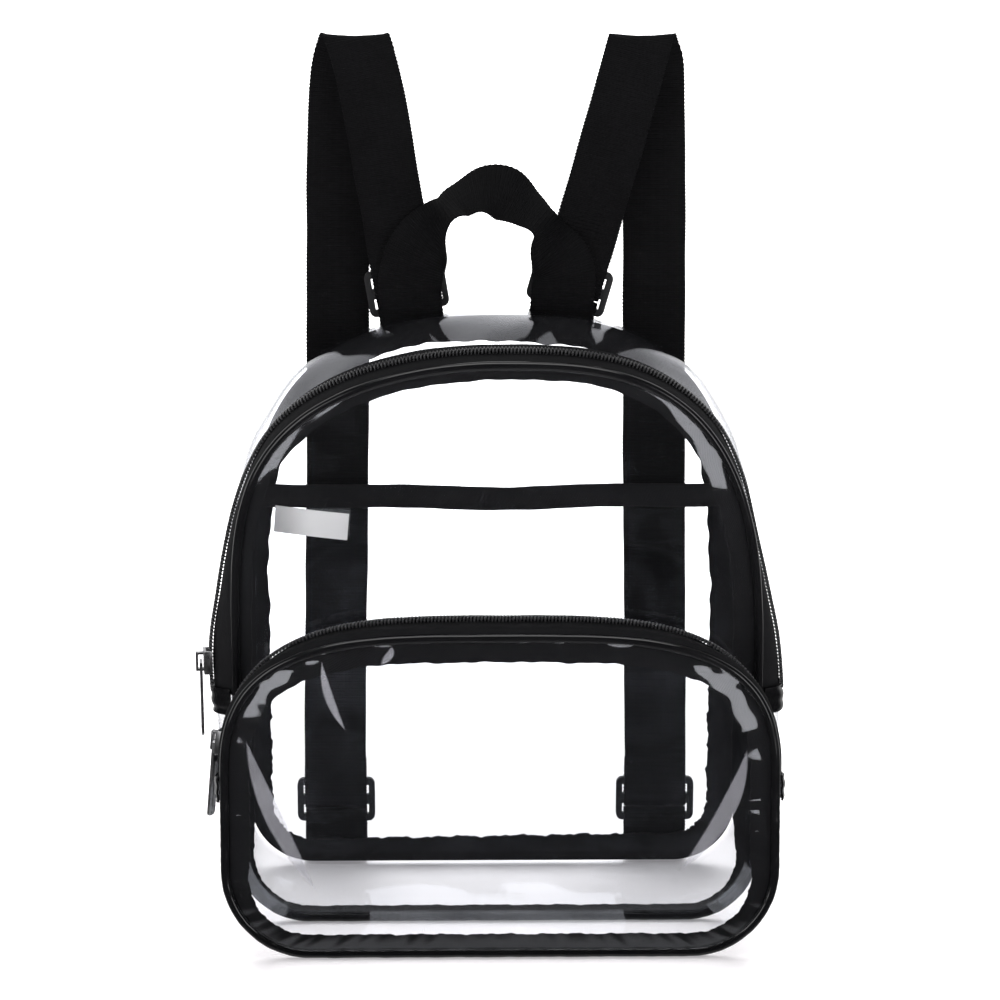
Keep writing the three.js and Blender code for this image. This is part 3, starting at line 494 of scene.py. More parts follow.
def paper():
    finish = Finish("white_floor")
    away = finish.node("ShaderNodeVectorMath", {"operation": "LENGTH"}, {0: finish.place()}, "Value")
    rise = {"Value": away, "From Min": 0.1, "From Max": 0.7}
    far = finish.node("ShaderNodeMapRange", {"interpolation_type": "SMOOTHSTEP"}, rise)
    return finish.painted(
        **{
            "Base Color": (0.85, 0.83, 0.84, 1),
            "Roughness": 1.0,
            "Specular IOR Level": 0.0,
            "Emission Color": finish.between(far, (0.3, 0.29, 0.3), (1.5, 1.5, 1.5)),
            "Emission Strength": 1.0,
        }
    )


def white_floor():
    bpy.ops.object.select_all(action="DESELECT")
    bpy.ops.mesh.primitive_plane_add(size=60, location=(0, 0, 0))
    floor = bpy.context.object
    floor.name = "floor"
    floor.data.materials.append(paper())
    floor.visible_glossy = False
    return floor


def floor_lamp(floor, strength, spread, tilt):
    """A broad light from above and a little behind, which falls on the floor alone."""
    lamp = bpy.data.objects.new("floor_lamp", bpy.data.lights.new("floor_lamp", "SUN"))
    lamp.data.energy = strength
    lamp.data.angle = math.radians(spread)
    lamp.rotation_euler = (math.radians(-tilt), 0, 0)
    bpy.context.scene.collection.objects.link(lamp)
    only = bpy.data.collections.new("floor_only")
    only.objects.link(floor)
    lamp.light_linking.receiver_collection = only


FLOOR = white_floor()
floor_lamp(FLOOR, 4.5, 55, 32)
print("floor", FLOOR.dimensions[:])

# %% [markdown]
# The outlines repeat the CAD source's, because every sheet and tape follows them. Each is a foot, two
# round corners and a dome whose left and right halves differ, as on the real bag.

# %% Outlines and depths
SHEET = 1.0
GAP = 0.3
SEAT = CORD_RADIUS + GAP
UNDER_CORD = 1.2
POCKET_DEPTH_AT_BASE = 44.0
POCKET_DEPTH_AT_TOP = 28.0
POCKET_TOP_RISE = 5.0
SPRINGING = 3.0
TOP = 4.0
ROUND = 8.0


def panel(left, right, top, springing, corner, base):
    """left and right are half width, rise and run of the dome on that side."""
    made = {"top": top, "springing": springing, "corner": corner, "base": base, "sides": []}
    turn = np.linspace(0, math.pi / 2, 1201)
    for half, rise, run in (left, right):
        x = half * np.maximum(np.cos(turn), 0) ** (2 / run)
        z = springing + (top - springing) * np.sin(turn) ** (2 / rise)
        length = np.concatenate([[0], np.cumsum(np.hypot(np.diff(x), np.diff(z)))])
        made["sides"].append({"half": half, "x": x, "z": z, "length": length})
    return made


FRONT = panel((FRONT_LEFT, 4.5, 2), (118, 3, 3), 262, 110, 32, CORD_RADIUS)
BACK = panel((124, 3.6, 2.6), (118, 3.6, 2.7), 276, 110, 32, SHEET / 2)
POCKET = panel((124, 2.8, 3.6), (122.5, 2.8, 3.6), 144, 80, 38, CORD_RADIUS)
POCKET_SEAT = SEAT + SHEET
POCKET_REAR = panel(
    (FRONT_LEFT - POCKET_SEAT, 2.8, 3.6),
    (118 - POCKET_SEAT, 2.8, 3.6),
    144 + POCKET_TOP_RISE,
    80,
    32,
    CORD_RADIUS + POCKET_SEAT,
)

print("front and back are", FRONT["top"], "and", BACK["top"], "mm tall")

# %% [markdown]
# A station is a place round an outline: 0 is the middle of the foot, 1 and 2 the ends of the right
# corner, 3 the springing of the dome, 4 its top, and 5 to 8 the same on the left. The helpers give
# an outline's point, the way out of it, and stations that are evenly spaced along it.

# %% Stations round an outline


def lerp(a, b, t):
    return a + (b - a) * t


def outline(shape, station):
    s = np.mod(np.asarray(station, float), ROUND)
    on_left = s > TOP
    place = np.where(on_left, ROUND - s, s)
    turn = np.clip(place - 1, 0, 1) * math.pi / 2
    corner, base = shape["corner"], shape["base"]
    found = []
    for side in shape["sides"]:
        half = side["half"]
        wanted = np.clip(place - SPRINGING, 0, 1) * side["length"][-1]
        x = np.select(
            [place <= 1, place <= 2, place <= SPRINGING],
            [(half - corner) * place, half - corner + corner * np.sin(turn), half],
            np.interp(wanted, side["length"], side["x"]),
        )
        z = np.select(
            [place <= 1, place <= 2, place <= SPRINGING],
            [
                base,
                base + corner - corner * np.cos(turn),
                lerp(base + corner, shape["springing"], place - 2),
            ],
            np.interp(wanted, side["length"], side["z"]),
        )
        found.append((x, z))
    x = np.where(on_left, -found[0][0], found[1][0])
    z = np.where(on_left, found[0][1], found[1][1])
    return np.stack([x, z], -1)


def outward(shape, station, step=0.02):
    along = outline(shape, station + step) - outline(shape, station - step)
    out = np.stack([along[..., 1], -along[..., 0]], -1)
    return out / np.linalg.norm(out, axis=-1, keepdims=True)


def even_stations(shape, start, end, count):
    fine = np.linspace(start, end, 4001)
    points = outline(shape, fine)
    run = np.concatenate([[0], np.cumsum(np.linalg.norm(np.diff(points, axis=0), axis=1))])
    return np.interp(np.linspace(0, run[-1], count + 1), run, fine), run[-1]


round_length = even_stations(FRONT, 0, ROUND, 8)[1]
print("the front seam is", round(round_length), "mm round")

# %% [markdown]
# Soft vinyl is never flat. Panels crown between their seams, pucker where thread gathers them and
# carry long shallow ripples. A cloth simulation could give such a sheet, but a stiff sheet held all
# round hardly moves, so the relief is written as a few seeded waves that can be tuned to the photo.

# %% Relief


def wander(at, seed, waves, size):
    """A smooth irregular line: waves are wavelengths in the same unit as at."""
    draw = np.random.default_rng(seed)
    total = np.zeros_like(np.asarray(at, float))
    for wavelength in waves:
        total += np.sin(2 * math.pi * at / wavelength + draw.uniform(0, 2 * math.pi))
    return size * total / math.sqrt(len(waves))


def ripples(x, z, seed, wavelengths, size):
    draw = np.random.default_rng(seed)
    total = np.zeros_like(x)
    for wavelength in wavelengths:
        turn = draw.uniform(0, math.pi)
        phase = draw.uniform(0, 2 * math.pi)
        across = x * math.cos(turn) + z * math.sin(turn)
        total += np.sin(2 * math.pi * across / wavelength + phase)
    return size * total / math.sqrt(len(wavelengths))


def crown(shape, height, x, z):
    left, right = shape["sides"]
    half = np.where(x < 0, left["half"], right["half"])
    middle = (shape["top"] + shape["base"]) / 2
    across = np.clip(1 - (x / half) ** 2, 0, 1)
    up = np.clip(1 - ((z - middle) / (shape["top"] - middle)) ** 2, 0, 1)
    return height * (across * up) ** 0.5


def roll(shape, x, z, height, reach):
    """A held sheet rises steeply from its seam and soon flattens. Distance is from the seam."""
    middle = (shape["top"] + shape["base"]) / 2
    if "rim" not in shape:
        rim = outline(shape, np.linspace(0, ROUND, 1601)[:-1]) - np.array([0, middle])
        turn = np.arctan2(rim[:, 1], rim[:, 0])
        order = np.argsort(turn)
        shape["rim"] = turn[order], np.linalg.norm(rim, axis=1)[order]
    turn, radius = shape["rim"]
    edge = np.interp(np.arctan2(z - middle, x), turn, radius, period=2 * math.pi)
    inside = np.maximum(edge - np.hypot(x, z - middle), 0)
    return height * (1 - np.exp(-inside / reach))


def front_y(x, z):
    """The middle of the main front sheet."""
    relief = ripples(x, z, 3, (46, 63, 90), 0.25) * crown(FRONT, 1, x, z)
    return -MAIN_DEPTH - crown(FRONT, 1.5, x, z) - roll(FRONT, x, z, 4.5, 11) - relief


def pocket_seam_y(z):
    up = np.clip((z - POCKET["base"]) / (POCKET["top"] - POCKET["base"]), 0, 1)
    return -MAIN_DEPTH - lerp(POCKET_DEPTH_AT_BASE, POCKET_DEPTH_AT_TOP, up)


print("the front sheet bulges to y =", round(float(front_y(np.array([0.0]), np.array([130.0]))[0]), 1))

# %% [markdown]
# The side walls run from a front outline to a rear one and swell in between. Zips, gussets and tabs
# all lie on them, so one function gives a wall's point from a station and a share of its depth, and
# another finds the share at a measured distance from the front seam.

# %% Side walls
SWELL_UP = np.array([0, 31, 63, 100, 131, 157, 183, 210, 232, 262])
SWELL_LEFT = np.array([0, 4.2, 8.2, 9.8, 10.6, 7.0, 4.0, 2.4, 2.8, 1.2])
SWELL_RIGHT = np.array([0, 4.2, 9.0, 10.8, 8.8, 4.6, 1.6, 2.0, 2.8, 1.2])
POCKET_SWELL = 3.5
FLARE = 0.045
FLARE_PEAK = 0.82


def smooth_table(at, keys, values):
    """A smooth curve through the rows of a short table."""
    slope = np.array(
        [
            (values[min(k + 1, len(keys) - 1)] - values[max(k - 1, 0)])
            / (keys[min(k + 1, len(keys) - 1)] - keys[max(k - 1, 0)])
            for k in range(len(keys))
        ]
    )
    i = np.clip(np.searchsorted(keys, at), 1, len(keys) - 1)
    width = keys[i] - keys[i - 1]
    t = np.clip((at - keys[i - 1]) / width, 0, 1)
    value = (2 * t**3 - 3 * t**2 + 1) * values[i - 1] + (3 * t**2 - 2 * t**3) * values[i]
    bend = (t**3 - 2 * t**2 + t) * slope[i - 1] + (t**3 - t**2) * slope[i]
    return value + bend * width


MAIN_WALL = {
    "front": FRONT,
    "rear": BACK,
    "front_y": lambda x, z: np.full_like(z, -MAIN_DEPTH),
    "rear_y": lambda x, z: np.zeros_like(z),
    "swell": lambda x, z: np.where(
        x < 0, smooth_table(z, SWELL_UP, SWELL_LEFT), smooth_table(z, SWELL_UP, SWELL_RIGHT)
    ),
}
POCKET_WALL = {
    "front": POCKET,
    "rear": POCKET_REAR,
    "front_y": lambda x, z: pocket_seam_y(z),
    "rear_y": lambda x, z: front_y(x, z) - SHEET / 2 - GAP,
    "swell": lambda x, z: POCKET_SWELL * np.clip(z / POCKET["springing"], 0, 1),
}


def wall_point(wall, station, share):
    front = outline(wall["front"], station)
    rear = outline(wall["rear"], station)
    k = np.asarray(share)[..., None]
    out = lerp(outward(wall["front"], station), outward(wall["rear"], station), k)
    out = out / np.linalg.norm(out, axis=-1, keepdims=True)
    flare = (1 - share) * (1 - np.exp(-share / FLARE)) / FLARE_PEAK
    swell = (wall["swell"](front[..., 0], front[..., 1]) * flare)[..., None]
    flat = lerp(front, rear, k) + out * swell
    y = lerp(
        wall["front_y"](front[..., 0], front[..., 1]),
        wall["rear_y"](rear[..., 0], rear[..., 1]),
        share,
    )
    return np.stack([flat[..., 0], y, flat[..., 1]], -1)


def wall_normal(wall, station, share, step=0.01):
    low = np.maximum(share - step, 0)
    high = np.minimum(share + step, 1)
    along = wall_point(wall, station + step, share) - wall_point(wall, station - step, share)
    back = wall_point(wall, station, high) - wall_point(wall, station, low)
    normal = -np.cross(along, back)
    return normal / np.linalg.norm(normal, axis=-1, keepdims=True)


def shares_at(wall, station, distance):
    """Shares of a wall's depth at a distance over the swell. A negative one is from the rear."""
    shares = np.linspace(0, 1, 65)
    points = wall_point(wall, station[:, None] + 0 * shares, shares[None] + 0 * station[:, None])
    steps = np.linalg.norm(np.diff(points, axis=1), axis=2)
    run = np.concatenate([np.zeros((len(station), 1)), np.cumsum(steps, axis=1)], axis=1)
    wanted = np.broadcast_to(distance, station.shape)
    wanted = np.where(wanted < 0, run[:, -1] + wanted, wanted)
    return np.array([np.interp(w, r, shares) for w, r in zip(wanted, run)])


side_depth = shares_at(MAIN_WALL, np.array([SPRINGING]), 15.0)
print("the main zip's coil is at share", np.round(side_depth, 3), "of the depth")

# %% [markdown]
# Each sheet and tape starts as a grid, whose two directions become the piece's own: round the seam
# and across it. It is laid over its surface, closed where its ends meet, given its thickness by
# Solidify and shaded smooth. Modelling it by hand would take the same steps, without the measures.

# %% Laying a grid


def deselect():
    bpy.ops.object.select_all(action="DESELECT")


def to_row(points):
    return np.asarray(points) * MM + SHIFT


def laid_grid(name, columns, rows, lay, across=1.0, along=1.0):
    """lay(u, v) gives places in mm. UVs are in metres: across runs with v and along with u."""
    deselect()
    bpy.ops.mesh.primitive_grid_add(x_subdivisions=columns, y_subdivisions=rows, size=2)
    piece = bpy.context.object
    piece.name = piece.data.name = name
    mesh = piece.data
    flat = np.empty(len(mesh.vertices) * 3)
    mesh.vertices.foreach_get("co", flat)
    u, v = (flat.reshape(-1, 3)[:, :2].T + 1) / 2
    mesh.vertices.foreach_set("co", to_row(lay(u, v)).ravel())
    uvs = mesh.uv_layers.active.data
    flat = np.empty(len(uvs) * 2)
    uvs.foreach_get("uv", flat)
    pairs = flat.reshape(-1, 2)
    turned = np.stack([pairs[:, 1] * across, pairs[:, 0] * along], -1) * MM
    uvs.foreach_set("uv", turned.ravel())
    mesh.update()
    return piece


def edit_all(piece, *steps):
    deselect()
    piece.select_set(True)
    bpy.context.view_layer.objects.active = piece
    bpy.ops.object.mode_set(mode="EDIT")
    bpy.ops.mesh.select_all(action="SELECT")
    for step in steps:
        step()
    bpy.ops.object.mode_set(mode="OBJECT")


def close_seams(piece, distance=0.00001):
    edit_all(
        piece,
        lambda: bpy.ops.mesh.remove_doubles(threshold=distance),
        lambda: bpy.ops.mesh.normals_make_consistent(inside=False),
    )


def close_tube(piece, distance=0.00001):
    """Closes a rolled grid along its length and fills its two open ends."""
    edit_all(
        piece,
        lambda: bpy.ops.mesh.remove_doubles(threshold=distance),
        lambda: bpy.ops.mesh.select_non_manifold(),
        lambda: bpy.ops.mesh.fill_holes(sides=0),
        lambda: bpy.ops.mesh.select_all(action="SELECT"),
        lambda: bpy.ops.mesh.normals_make_consistent(inside=False),
    )


def thicken(piece, thickness):
    deselect()
    piece.select_set(True)
    bpy.context.view_layer.objects.active = piece
    modifier = piece.modifiers.new("thickness", "SOLIDIFY")
    modifier.thickness = thickness * MM
    modifier.offset = 0
    modifier.use_even_offset = False
    bpy.ops.object.modifier_apply(modifier=modifier.name)


def finish_piece(piece, material, node, body="bag", angle=50):
    """Gives a piece its finish and its body, and hides the CAD part that it stands for."""
    deselect()
    piece.select_set(True)
    bpy.context.view_layer.objects.active = piece
    bpy.ops.object.shade_smooth_by_angle(angle=math.radians(angle))
    piece.data.materials.clear()
    piece.data.materials.append(material)
    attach(piece, body)
    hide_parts(node)
    piece.visible_shadow = material is not VINYL
    print(piece.name, "has", len(piece.data.polygons), "faces")
    return piece


# %% [markdown]
# A domed sheet fills an outline. Its grid is wound into rings, from the middle out to the seam, so
# that the puckers can follow the seam. A flat plane cut to the outline would have no such rings.

# %% Domed sheets
THIN_SHEET = SHEET * 0.6


def domed_sheet(name, shape, inset, y_at, pucker, columns=420, rings=56):
    station, length = even_stations(shape, 0, ROUND, columns)
    edge = outline(shape, station) - outward(shape, station) * inset
    centre = np.array([0, (shape["top"] + shape["base"]) / 2])

    def lay(u, v):
        i = np.rint(u * columns).astype(int) % columns
        share = 1 - (1 - v) ** 1.7
        flat = lerp(centre, edge[i], share[:, None])
        distance = np.linalg.norm(edge[i] - flat, axis=1)
        at = station[i] / ROUND * length
        gather = pucker * np.exp(-distance / 7) * (1 - np.exp(-distance / 2))
        wave = wander(at, 7, (length / 61, length / 83, length / 37), 1)
        y = y_at(flat[:, 0], flat[:, 1]) + gather * wave
        return np.stack([flat[:, 0], y, flat[:, 1]], -1)

    piece = laid_grid(name, columns, rings, lay)
    close_seams(piece, 0.00002)
    thicken(piece, THIN_SHEET)
    return piece


def pocket_y(x, z):
    relief = ripples(x, z, 11, (38, 55, 80), 0.3) * crown(POCKET, 1, x, z)
    return pocket_seam_y(z) - crown(POCKET, 2.5, x, z) - roll(POCKET, x, z, 5.5, 10) - relief


def back_y(x, z):
    return crown(BACK, 1.5, x, z) + ripples(x, z, 5, (60, 85, 120), 0.2) * crown(BACK, 1, x, z)


for name, shape, inset, y_at, pucker, vinyl, node in (
    ("front_sheet", FRONT, UNDER_CORD, front_y, 0.25, VINYL, "main_front"),
    ("back_sheet", BACK, SHEET / 2 + GAP, back_y, 0.3, VINYL, "back_panel"),
    # The pocket's sheet has painted reflections in its finish.
    ("pocket_sheet", POCKET, UNDER_CORD, pocket_y, 0.5, REFLECTION_PAINTED_VINYL, "pocket_front"),
):
    finish_piece(domed_sheet(name, shape, inset, y_at, pucker), vinyl, node)

# %% [markdown]
# Strips lie on the side walls: clear gussets, zip tapes and the tabs at the zips' ends. Each runs
# between two stations and two distances from the front seam.

# %% Strips on the walls
ARCH = (SPRINGING, ROUND - SPRINGING)
HALF_TAPE = 12.5
COIL_MIDDLE = SEAT + HALF_TAPE
TAPE_END = SEAT + 2 * HALF_TAPE
TO_REAR = -1e-6
RUN_STEP = 2.2


def wall_strip(name, wall, ends, reach, thickness, rows, relief, finish, node, lift=0, step=RUN_STEP):
    """reach holds the two distances from the front seam that the strip runs between."""
    near, far = reach
    length = even_stations(wall["front"], *ends, 8)[1]
    columns = max(4, int(length / step))
    station = even_stations(wall["front"], *ends, columns)[0]
    first = shares_at(wall, station, near)
    last = shares_at(wall, station, far)

    def lay(u, v):
        i = np.rint(u * columns).astype(int)
        share = lerp(first[i], last[i], v)
        normal = wall_normal(wall, station[i], share)
        height = np.reshape(lift + relief(u * length, v), (-1, 1))
        return wall_point(wall, station[i], share) + normal * height

    width = abs(far - near) if far > 0 else 60
    piece = laid_grid(name, columns, rows, lay, across=width, along=length)
    close_seams(piece)
    thicken(piece, thickness)
    return finish_piece(piece, finish, node)


def gusset_relief(seed, size):
    def relief(at, v):
        held = np.clip(4 * v * (1 - v), 0, 1)
        slack = wander(at, seed, (31, 47, 74), size)
        return held * (slack + wander(at + 40 * v, seed + 1, (58,), size))

    return relief


def split(shape):
    """Half the gap between the two gussets, as a share of a station."""
    return GAP / (shape["springing"] - shape["base"] - shape["corner"])


def top_relief(at, v):
    return gusset_relief(21, 0.6)(at, v) + 3.5 * np.sin(math.pi * v)


to_rear = (TAPE_END + GAP, TO_REAR)
wall_strip(
    "top_gusset", MAIN_WALL, ARCH, to_rear, THIN_SHEET, 22, top_relief, VINYL, "main_gusset_top"
)
for piece_name, wall, node, seed in (
    ("base_gusset", MAIN_WALL, "main_gusset_base", 31),
    ("pocket_wall", POCKET_WALL, "pocket_gusset", 41),
):
    end = SPRINGING - split(wall["front"])
    reach, relief = (UNDER_CORD, TO_REAR), gusset_relief(seed, 0.3)
    wall_strip(piece_name, wall, (-end, end), reach, THIN_SHEET, 24, relief, VINYL, node)

# %% [markdown]
# A zip is two woven tapes with a coil between them. The tapes lie flat on the wall, and their rear
# or front edge goes into the seam. A slight unevenness keeps them from looking cut from card.

# %% Zip tapes
TAPE_THICKNESS = 0.7


def tape_relief(seed):
    def relief(at, v):
        return wander(at, seed, (23, 41), 0.08) + 0.12 * np.cos(v * math.pi)

    return relief


for zip_name, wall, rear_far in (("main", MAIN_WALL, TAPE_END), ("pocket", POCKET_WALL, TO_REAR)):
    for place, reach in (
        ("front", (UNDER_CORD, COIL_MIDDLE - GAP / 2)),
        ("rear", (COIL_MIDDLE + GAP / 2, rear_far)),
    ):
        name, node = f"{zip_name}_zip_{place}_tape", f"{zip_name}_zip_tape_{place}"
        relief = tape_relief(51 + len(place))
        wall_strip(name, wall, ARCH, reach, TAPE_THICKNESS, 8, relief, TAPE_CLOTH, node)

# %% [markdown]
# The coil is a row of nylon loops on each side, which mesh in the middle. One half loop is modelled
# from a cube with its edges rounded, and copied along both sides with the two sides out of step.
# A thousand real objects would be slow, so the copies are gathered in one mesh.

# %% Zip coil
COIL_PITCH = 1.6
COIL_WIDTH = 6.0
COIL_HEIGHT = 2.2


def zip_frames(wall, station):
    share = shares_at(wall, station, COIL_MIDDLE)
    centre = wall_point(wall, station, share)
    normal = wall_normal(wall, station, share)
    run = wall_point(wall, station + 0.01, share) - wall_point(wall, station - 0.01, share)
    run = run - normal * np.sum(run * normal, axis=1, keepdims=True)
    run = run / np.linalg.norm(run, axis=1, keepdims=True)
    return centre, run, np.cross(run, normal), normal


def coil_loop():
    """One half loop: X across the zip, Y along it and Z out, in mm."""
    deselect()
    bpy.ops.mesh.primitive_cube_add(size=1)
    loop = bpy.context.object
    loop.name = "coil_loop"
    half = COIL_WIDTH / 2
    loop.data.transform(Matrix.Diagonal((half + 0.5, COIL_PITCH * 0.5, COIL_HEIGHT * 0.8, 1)))
    edit_all(loop, lambda: bpy.ops.mesh.bevel(offset=0.36, segments=2, affect="EDGES"))
    return loop


def coil(name, wall, node):
    loop = coil_loop()
    shape = np.array([v.co for v in loop.data.vertices])
    faces = [list(p.vertices) for p in loop.data.polygons]
    bpy.data.objects.remove(loop)
    length = even_stations(wall["front"], *ARCH, 8)[1]
    count = int(length / COIL_PITCH) * 2
    station = even_stations(wall["front"], *ARCH, count)[0][1:-1]
    centre, run, sideways, normal = zip_frames(wall, station)
    points, polygons = [], []
    foot = 0.5 + GAP + COIL_HEIGHT * 0.4
    for i in range(len(station)):
        side = 1 if i % 2 else -1
        across = shape[:, 0] + side * (COIL_WIDTH / 4 - 0.25)
        up = shape[:, 2] + foot - 0.16 * (across / 2) ** 2
        spun = (
            centre[i]
            + across[:, None] * sideways[i]
            + (shape[:, 1] + 0.12 * side * across)[:, None] * run[i]
            + up[:, None] * normal[i]
        )
        polygons += [[k + i * len(shape) for k in face] for face in faces]
        points.append(spun)
    mesh = bpy.data.meshes.new(name)
    mesh.from_pydata(to_row(np.concatenate(points)).tolist(), [], polygons)
    piece = bpy.data.objects.new(name, mesh)
    bpy.context.scene.collection.objects.link(piece)
    return finish_piece(piece, NYLON, node)


coil("main_zip_teeth", MAIN_WALL, "main_zip_coil")
coil("pocket_zip_teeth", POCKET_WALL, "pocket_zip_coil")

# %% [markdown]
# A glossy black tab covers each zip's end, wrapped from the front seam over the tapes. It is a short
# strip on the same wall with thick rolled edges.

# %% Tabs at the zips' ends
TAB_LENGTH = 9.5
TAB_OVERLAP = 0.012


def tab_relief(at, v):
    along = np.clip(at / TAB_LENGTH, 0, 1)
    return 0.5 * np.sin(math.pi * along) ** 0.5 * np.sin(math.pi * v) ** 0.3 + 0.25 * np.sin(at * 1.1)


for zip_name, wall, far in (("main", MAIN_WALL, TAPE_END), ("pocket", POCKET_WALL, TAPE_END - 2 * GAP)):
    shape = wall["front"]
    foot = SPRINGING - TAB_LENGTH / (shape["springing"] - shape["base"] - shape["corner"])
    end = SPRINGING + TAB_OVERLAP
    for side, ends in (("right", (foot, end)), ("left", (ROUND - end, ROUND - foot))):
        wall_strip(
            f"{zip_name}_tab_{side}",
            wall,
            ends,
            (SEAT, far),
            SHEET,
            16,
            tab_relief,
            BLACK_VINYL,
            f"{zip_name}_zip_tab_{side}",
            lift=SHEET + GAP,
            step=0.8,
        )

# %% [markdown]
# Piping cords stand in the two front seams. A cord could be a circle swept along a curve. Here it is
# a grid rolled round the seam, because its slight waves and the bag's own outline are then one sum.

# %% Piping


def piping(name, shape, y_at, node, seed, columns=560, sides=20):
    station, length = even_stations(shape, 0, ROUND, columns)
    middle = outline(shape, station)
    out = outward(shape, station)

    def lay(u, v):
        i = np.rint(u * columns).astype(int) % columns
        at = station[i] / ROUND * length
        turn = v * 2 * math.pi
        radius = CORD_RADIUS + wander(at, seed, (length / 91, length / 57, length / 33), 0.05)
        flat = middle[i] + out[i] * (radius * np.cos(turn))[:, None]
        y = y_at(middle[i][:, 1]) + radius * np.sin(turn)
        y = y + wander(at, seed + 1, (length / 19, length / 31), 0.12)
        return np.stack([flat[:, 0], y, flat[:, 1]], -1)

    piece = laid_grid(name, columns, sides, lay, across=2 * math.pi * CORD_RADIUS, along=length)
    close_seams(piece)
    return finish_piece(piece, BLACK_VINYL, node, angle=80)


piping("front_piping", FRONT, lambda z: np.full_like(z, -MAIN_DEPTH), "main_piping", 61)
piping("pocket_cord", POCKET, pocket_seam_y, "pocket_piping", 71)

# %% [markdown]
# Inside each seam a woven tape binds the raw edges. Scissors and thread leave its free edge uneven,
# which shows against the white behind it, so the width wanders a little along the seam.

# %% Seam tapes and back binding
BINDING_WIDTH = 12.0
BINDING_THICKNESS = 2.0
TAPE_SEAT = 1.5


def seam_band(name, shape, inset, width, y_at, thickness, node, seed, rough_edge, columns=520):
    station, length = even_stations(shape, 0, ROUND, columns)
    middle = outline(shape, station)
    out = outward(shape, station)
    wide = width(middle[:, 0], middle[:, 1])

    def lay(u, v):
        i = np.rint(u * columns).astype(int) % columns
        at = station[i] / ROUND * length
        edge = wander(at, seed, (length / 23, length / 47, length / 89, length / 151), rough_edge)
        reach = inset + (wide[i] + edge) * v
        flat = middle[i] - out[i] * reach[:, None]
        lift = wander(at, seed + 3, (length / 37, length / 61), 0.18) * v
        y = y_at(flat[:, 0], flat[:, 1]) + lift
        return np.stack([flat[:, 0], y, flat[:, 1]], -1)

    piece = laid_grid(name, columns, 6, lay, across=wide.mean(), along=length)
    close_seams(piece)
    thicken(piece, thickness)
    return finish_piece(piece, TAPE_CLOTH, node)


def front_tape_width(x, z):
    """Narrow at the foot, and wider at the sides, most of all on the right."""
    side = np.clip(np.abs(x) / 118 - 0.4, 0, 0.6) / 0.6
    return 3.6 + np.clip(z / 60, 0, 1) * (1.6 + side * np.where(x > 0, 5.0, 0.8))


def pocket_tape_width(x, z):
    return lerp(6.6, 9.8, np.clip((z - 12) / 34, 0, 1))


def binding_width(x, z):
    """Wider towards the right."""
    return BINDING_WIDTH - 1.2 + 1.6 * (np.clip(x, -118, 118) / 118 + 1)


def at_front_seam(x, z):
    return np.full_like(x, -MAIN_DEPTH + TAPE_SEAT)


def at_pocket_seam(x, z):
    return pocket_seam_y(z) + TAPE_SEAT


def at_back_seam(x, z):
    return np.full_like(x, -SHEET / 2 - GAP - BINDING_THICKNESS / 2)


for name, shape, inset, width, y_at, thickness, node, seed, rough_edge in (
    ("front_seam_tape", FRONT, UNDER_CORD, front_tape_width, at_front_seam)
    + (0.8, "main_seam_tape", 81, 0.25),
    ("pocket_inner_tape", POCKET, UNDER_CORD, pocket_tape_width, at_pocket_seam)
    + (0.8, "pocket_seam_tape", 91, 0.3),
    ("back_binding_tape", BACK, SHEET + GAP, binding_width, at_back_seam)
    + (BINDING_THICKNESS * 0.8, "back_binding", 101, 0.55),
):
    seam_band(name, shape, inset, width, y_at, thickness, node, seed, rough_edge)

# %% [markdown]
# On the back wall a second clear sheet makes a slip pocket. It is sewn in at its sides and foot, and
# bellies forward. A folded woven hem finishes its mouth.

# %% Slip pocket and hem
HEM_FOOT = 182.0
HEM_HEIGHT = 12.0
HEM_THICKNESS = 2.0
SLIP_BELLY = 6.0
SLIP_SEAT_Y = -(SHEET / 2 + GAP + BINDING_THICKNESS + GAP + HEM_THICKNESS / 2)


def half_width(side, z):
    """Half the back panel's width at a height. side is 0 on the left and 1 on the right."""
    table = BACK["sides"][side]
    on_dome = np.interp(z, table["z"], table["x"])
    drop = np.clip(BACK["base"] + BACK["corner"] - z, 0, BACK["corner"])
    on_corner = table["half"] - BACK["corner"] + np.sqrt(BACK["corner"] ** 2 - drop**2)
    return np.where(z > BACK["springing"], on_dome, on_corner)


def slip_lay(low, high, relief):
    inset = SHEET / 2 + GAP + BINDING_WIDTH * 0.4

    def lay(u, v):
        z = lerp(low, high, v)
        x = lerp(-(half_width(0, z) - inset), half_width(1, z) - inset, u)
        belly = SLIP_BELLY * np.sqrt(np.clip(z / (HEM_FOOT + HEM_HEIGHT), 0, 1))
        sag = relief(x, z) * np.sin(math.pi * u)
        return np.stack([x, SLIP_SEAT_Y - belly * np.sin(math.pi * u) + sag, z], -1)

    return lay


slip_sheet = laid_grid(
    "slip_sheet",
    110,
    80,
    slip_lay(7.0, HEM_FOOT - GAP, lambda x, z: ripples(x, z, 15, (50, 75, 120), 0.35)),
    across=176,
    along=230,
)
close_seams(slip_sheet)
thicken(slip_sheet, THIN_SHEET)
finish_piece(slip_sheet, VINYL, "slip_pocket")


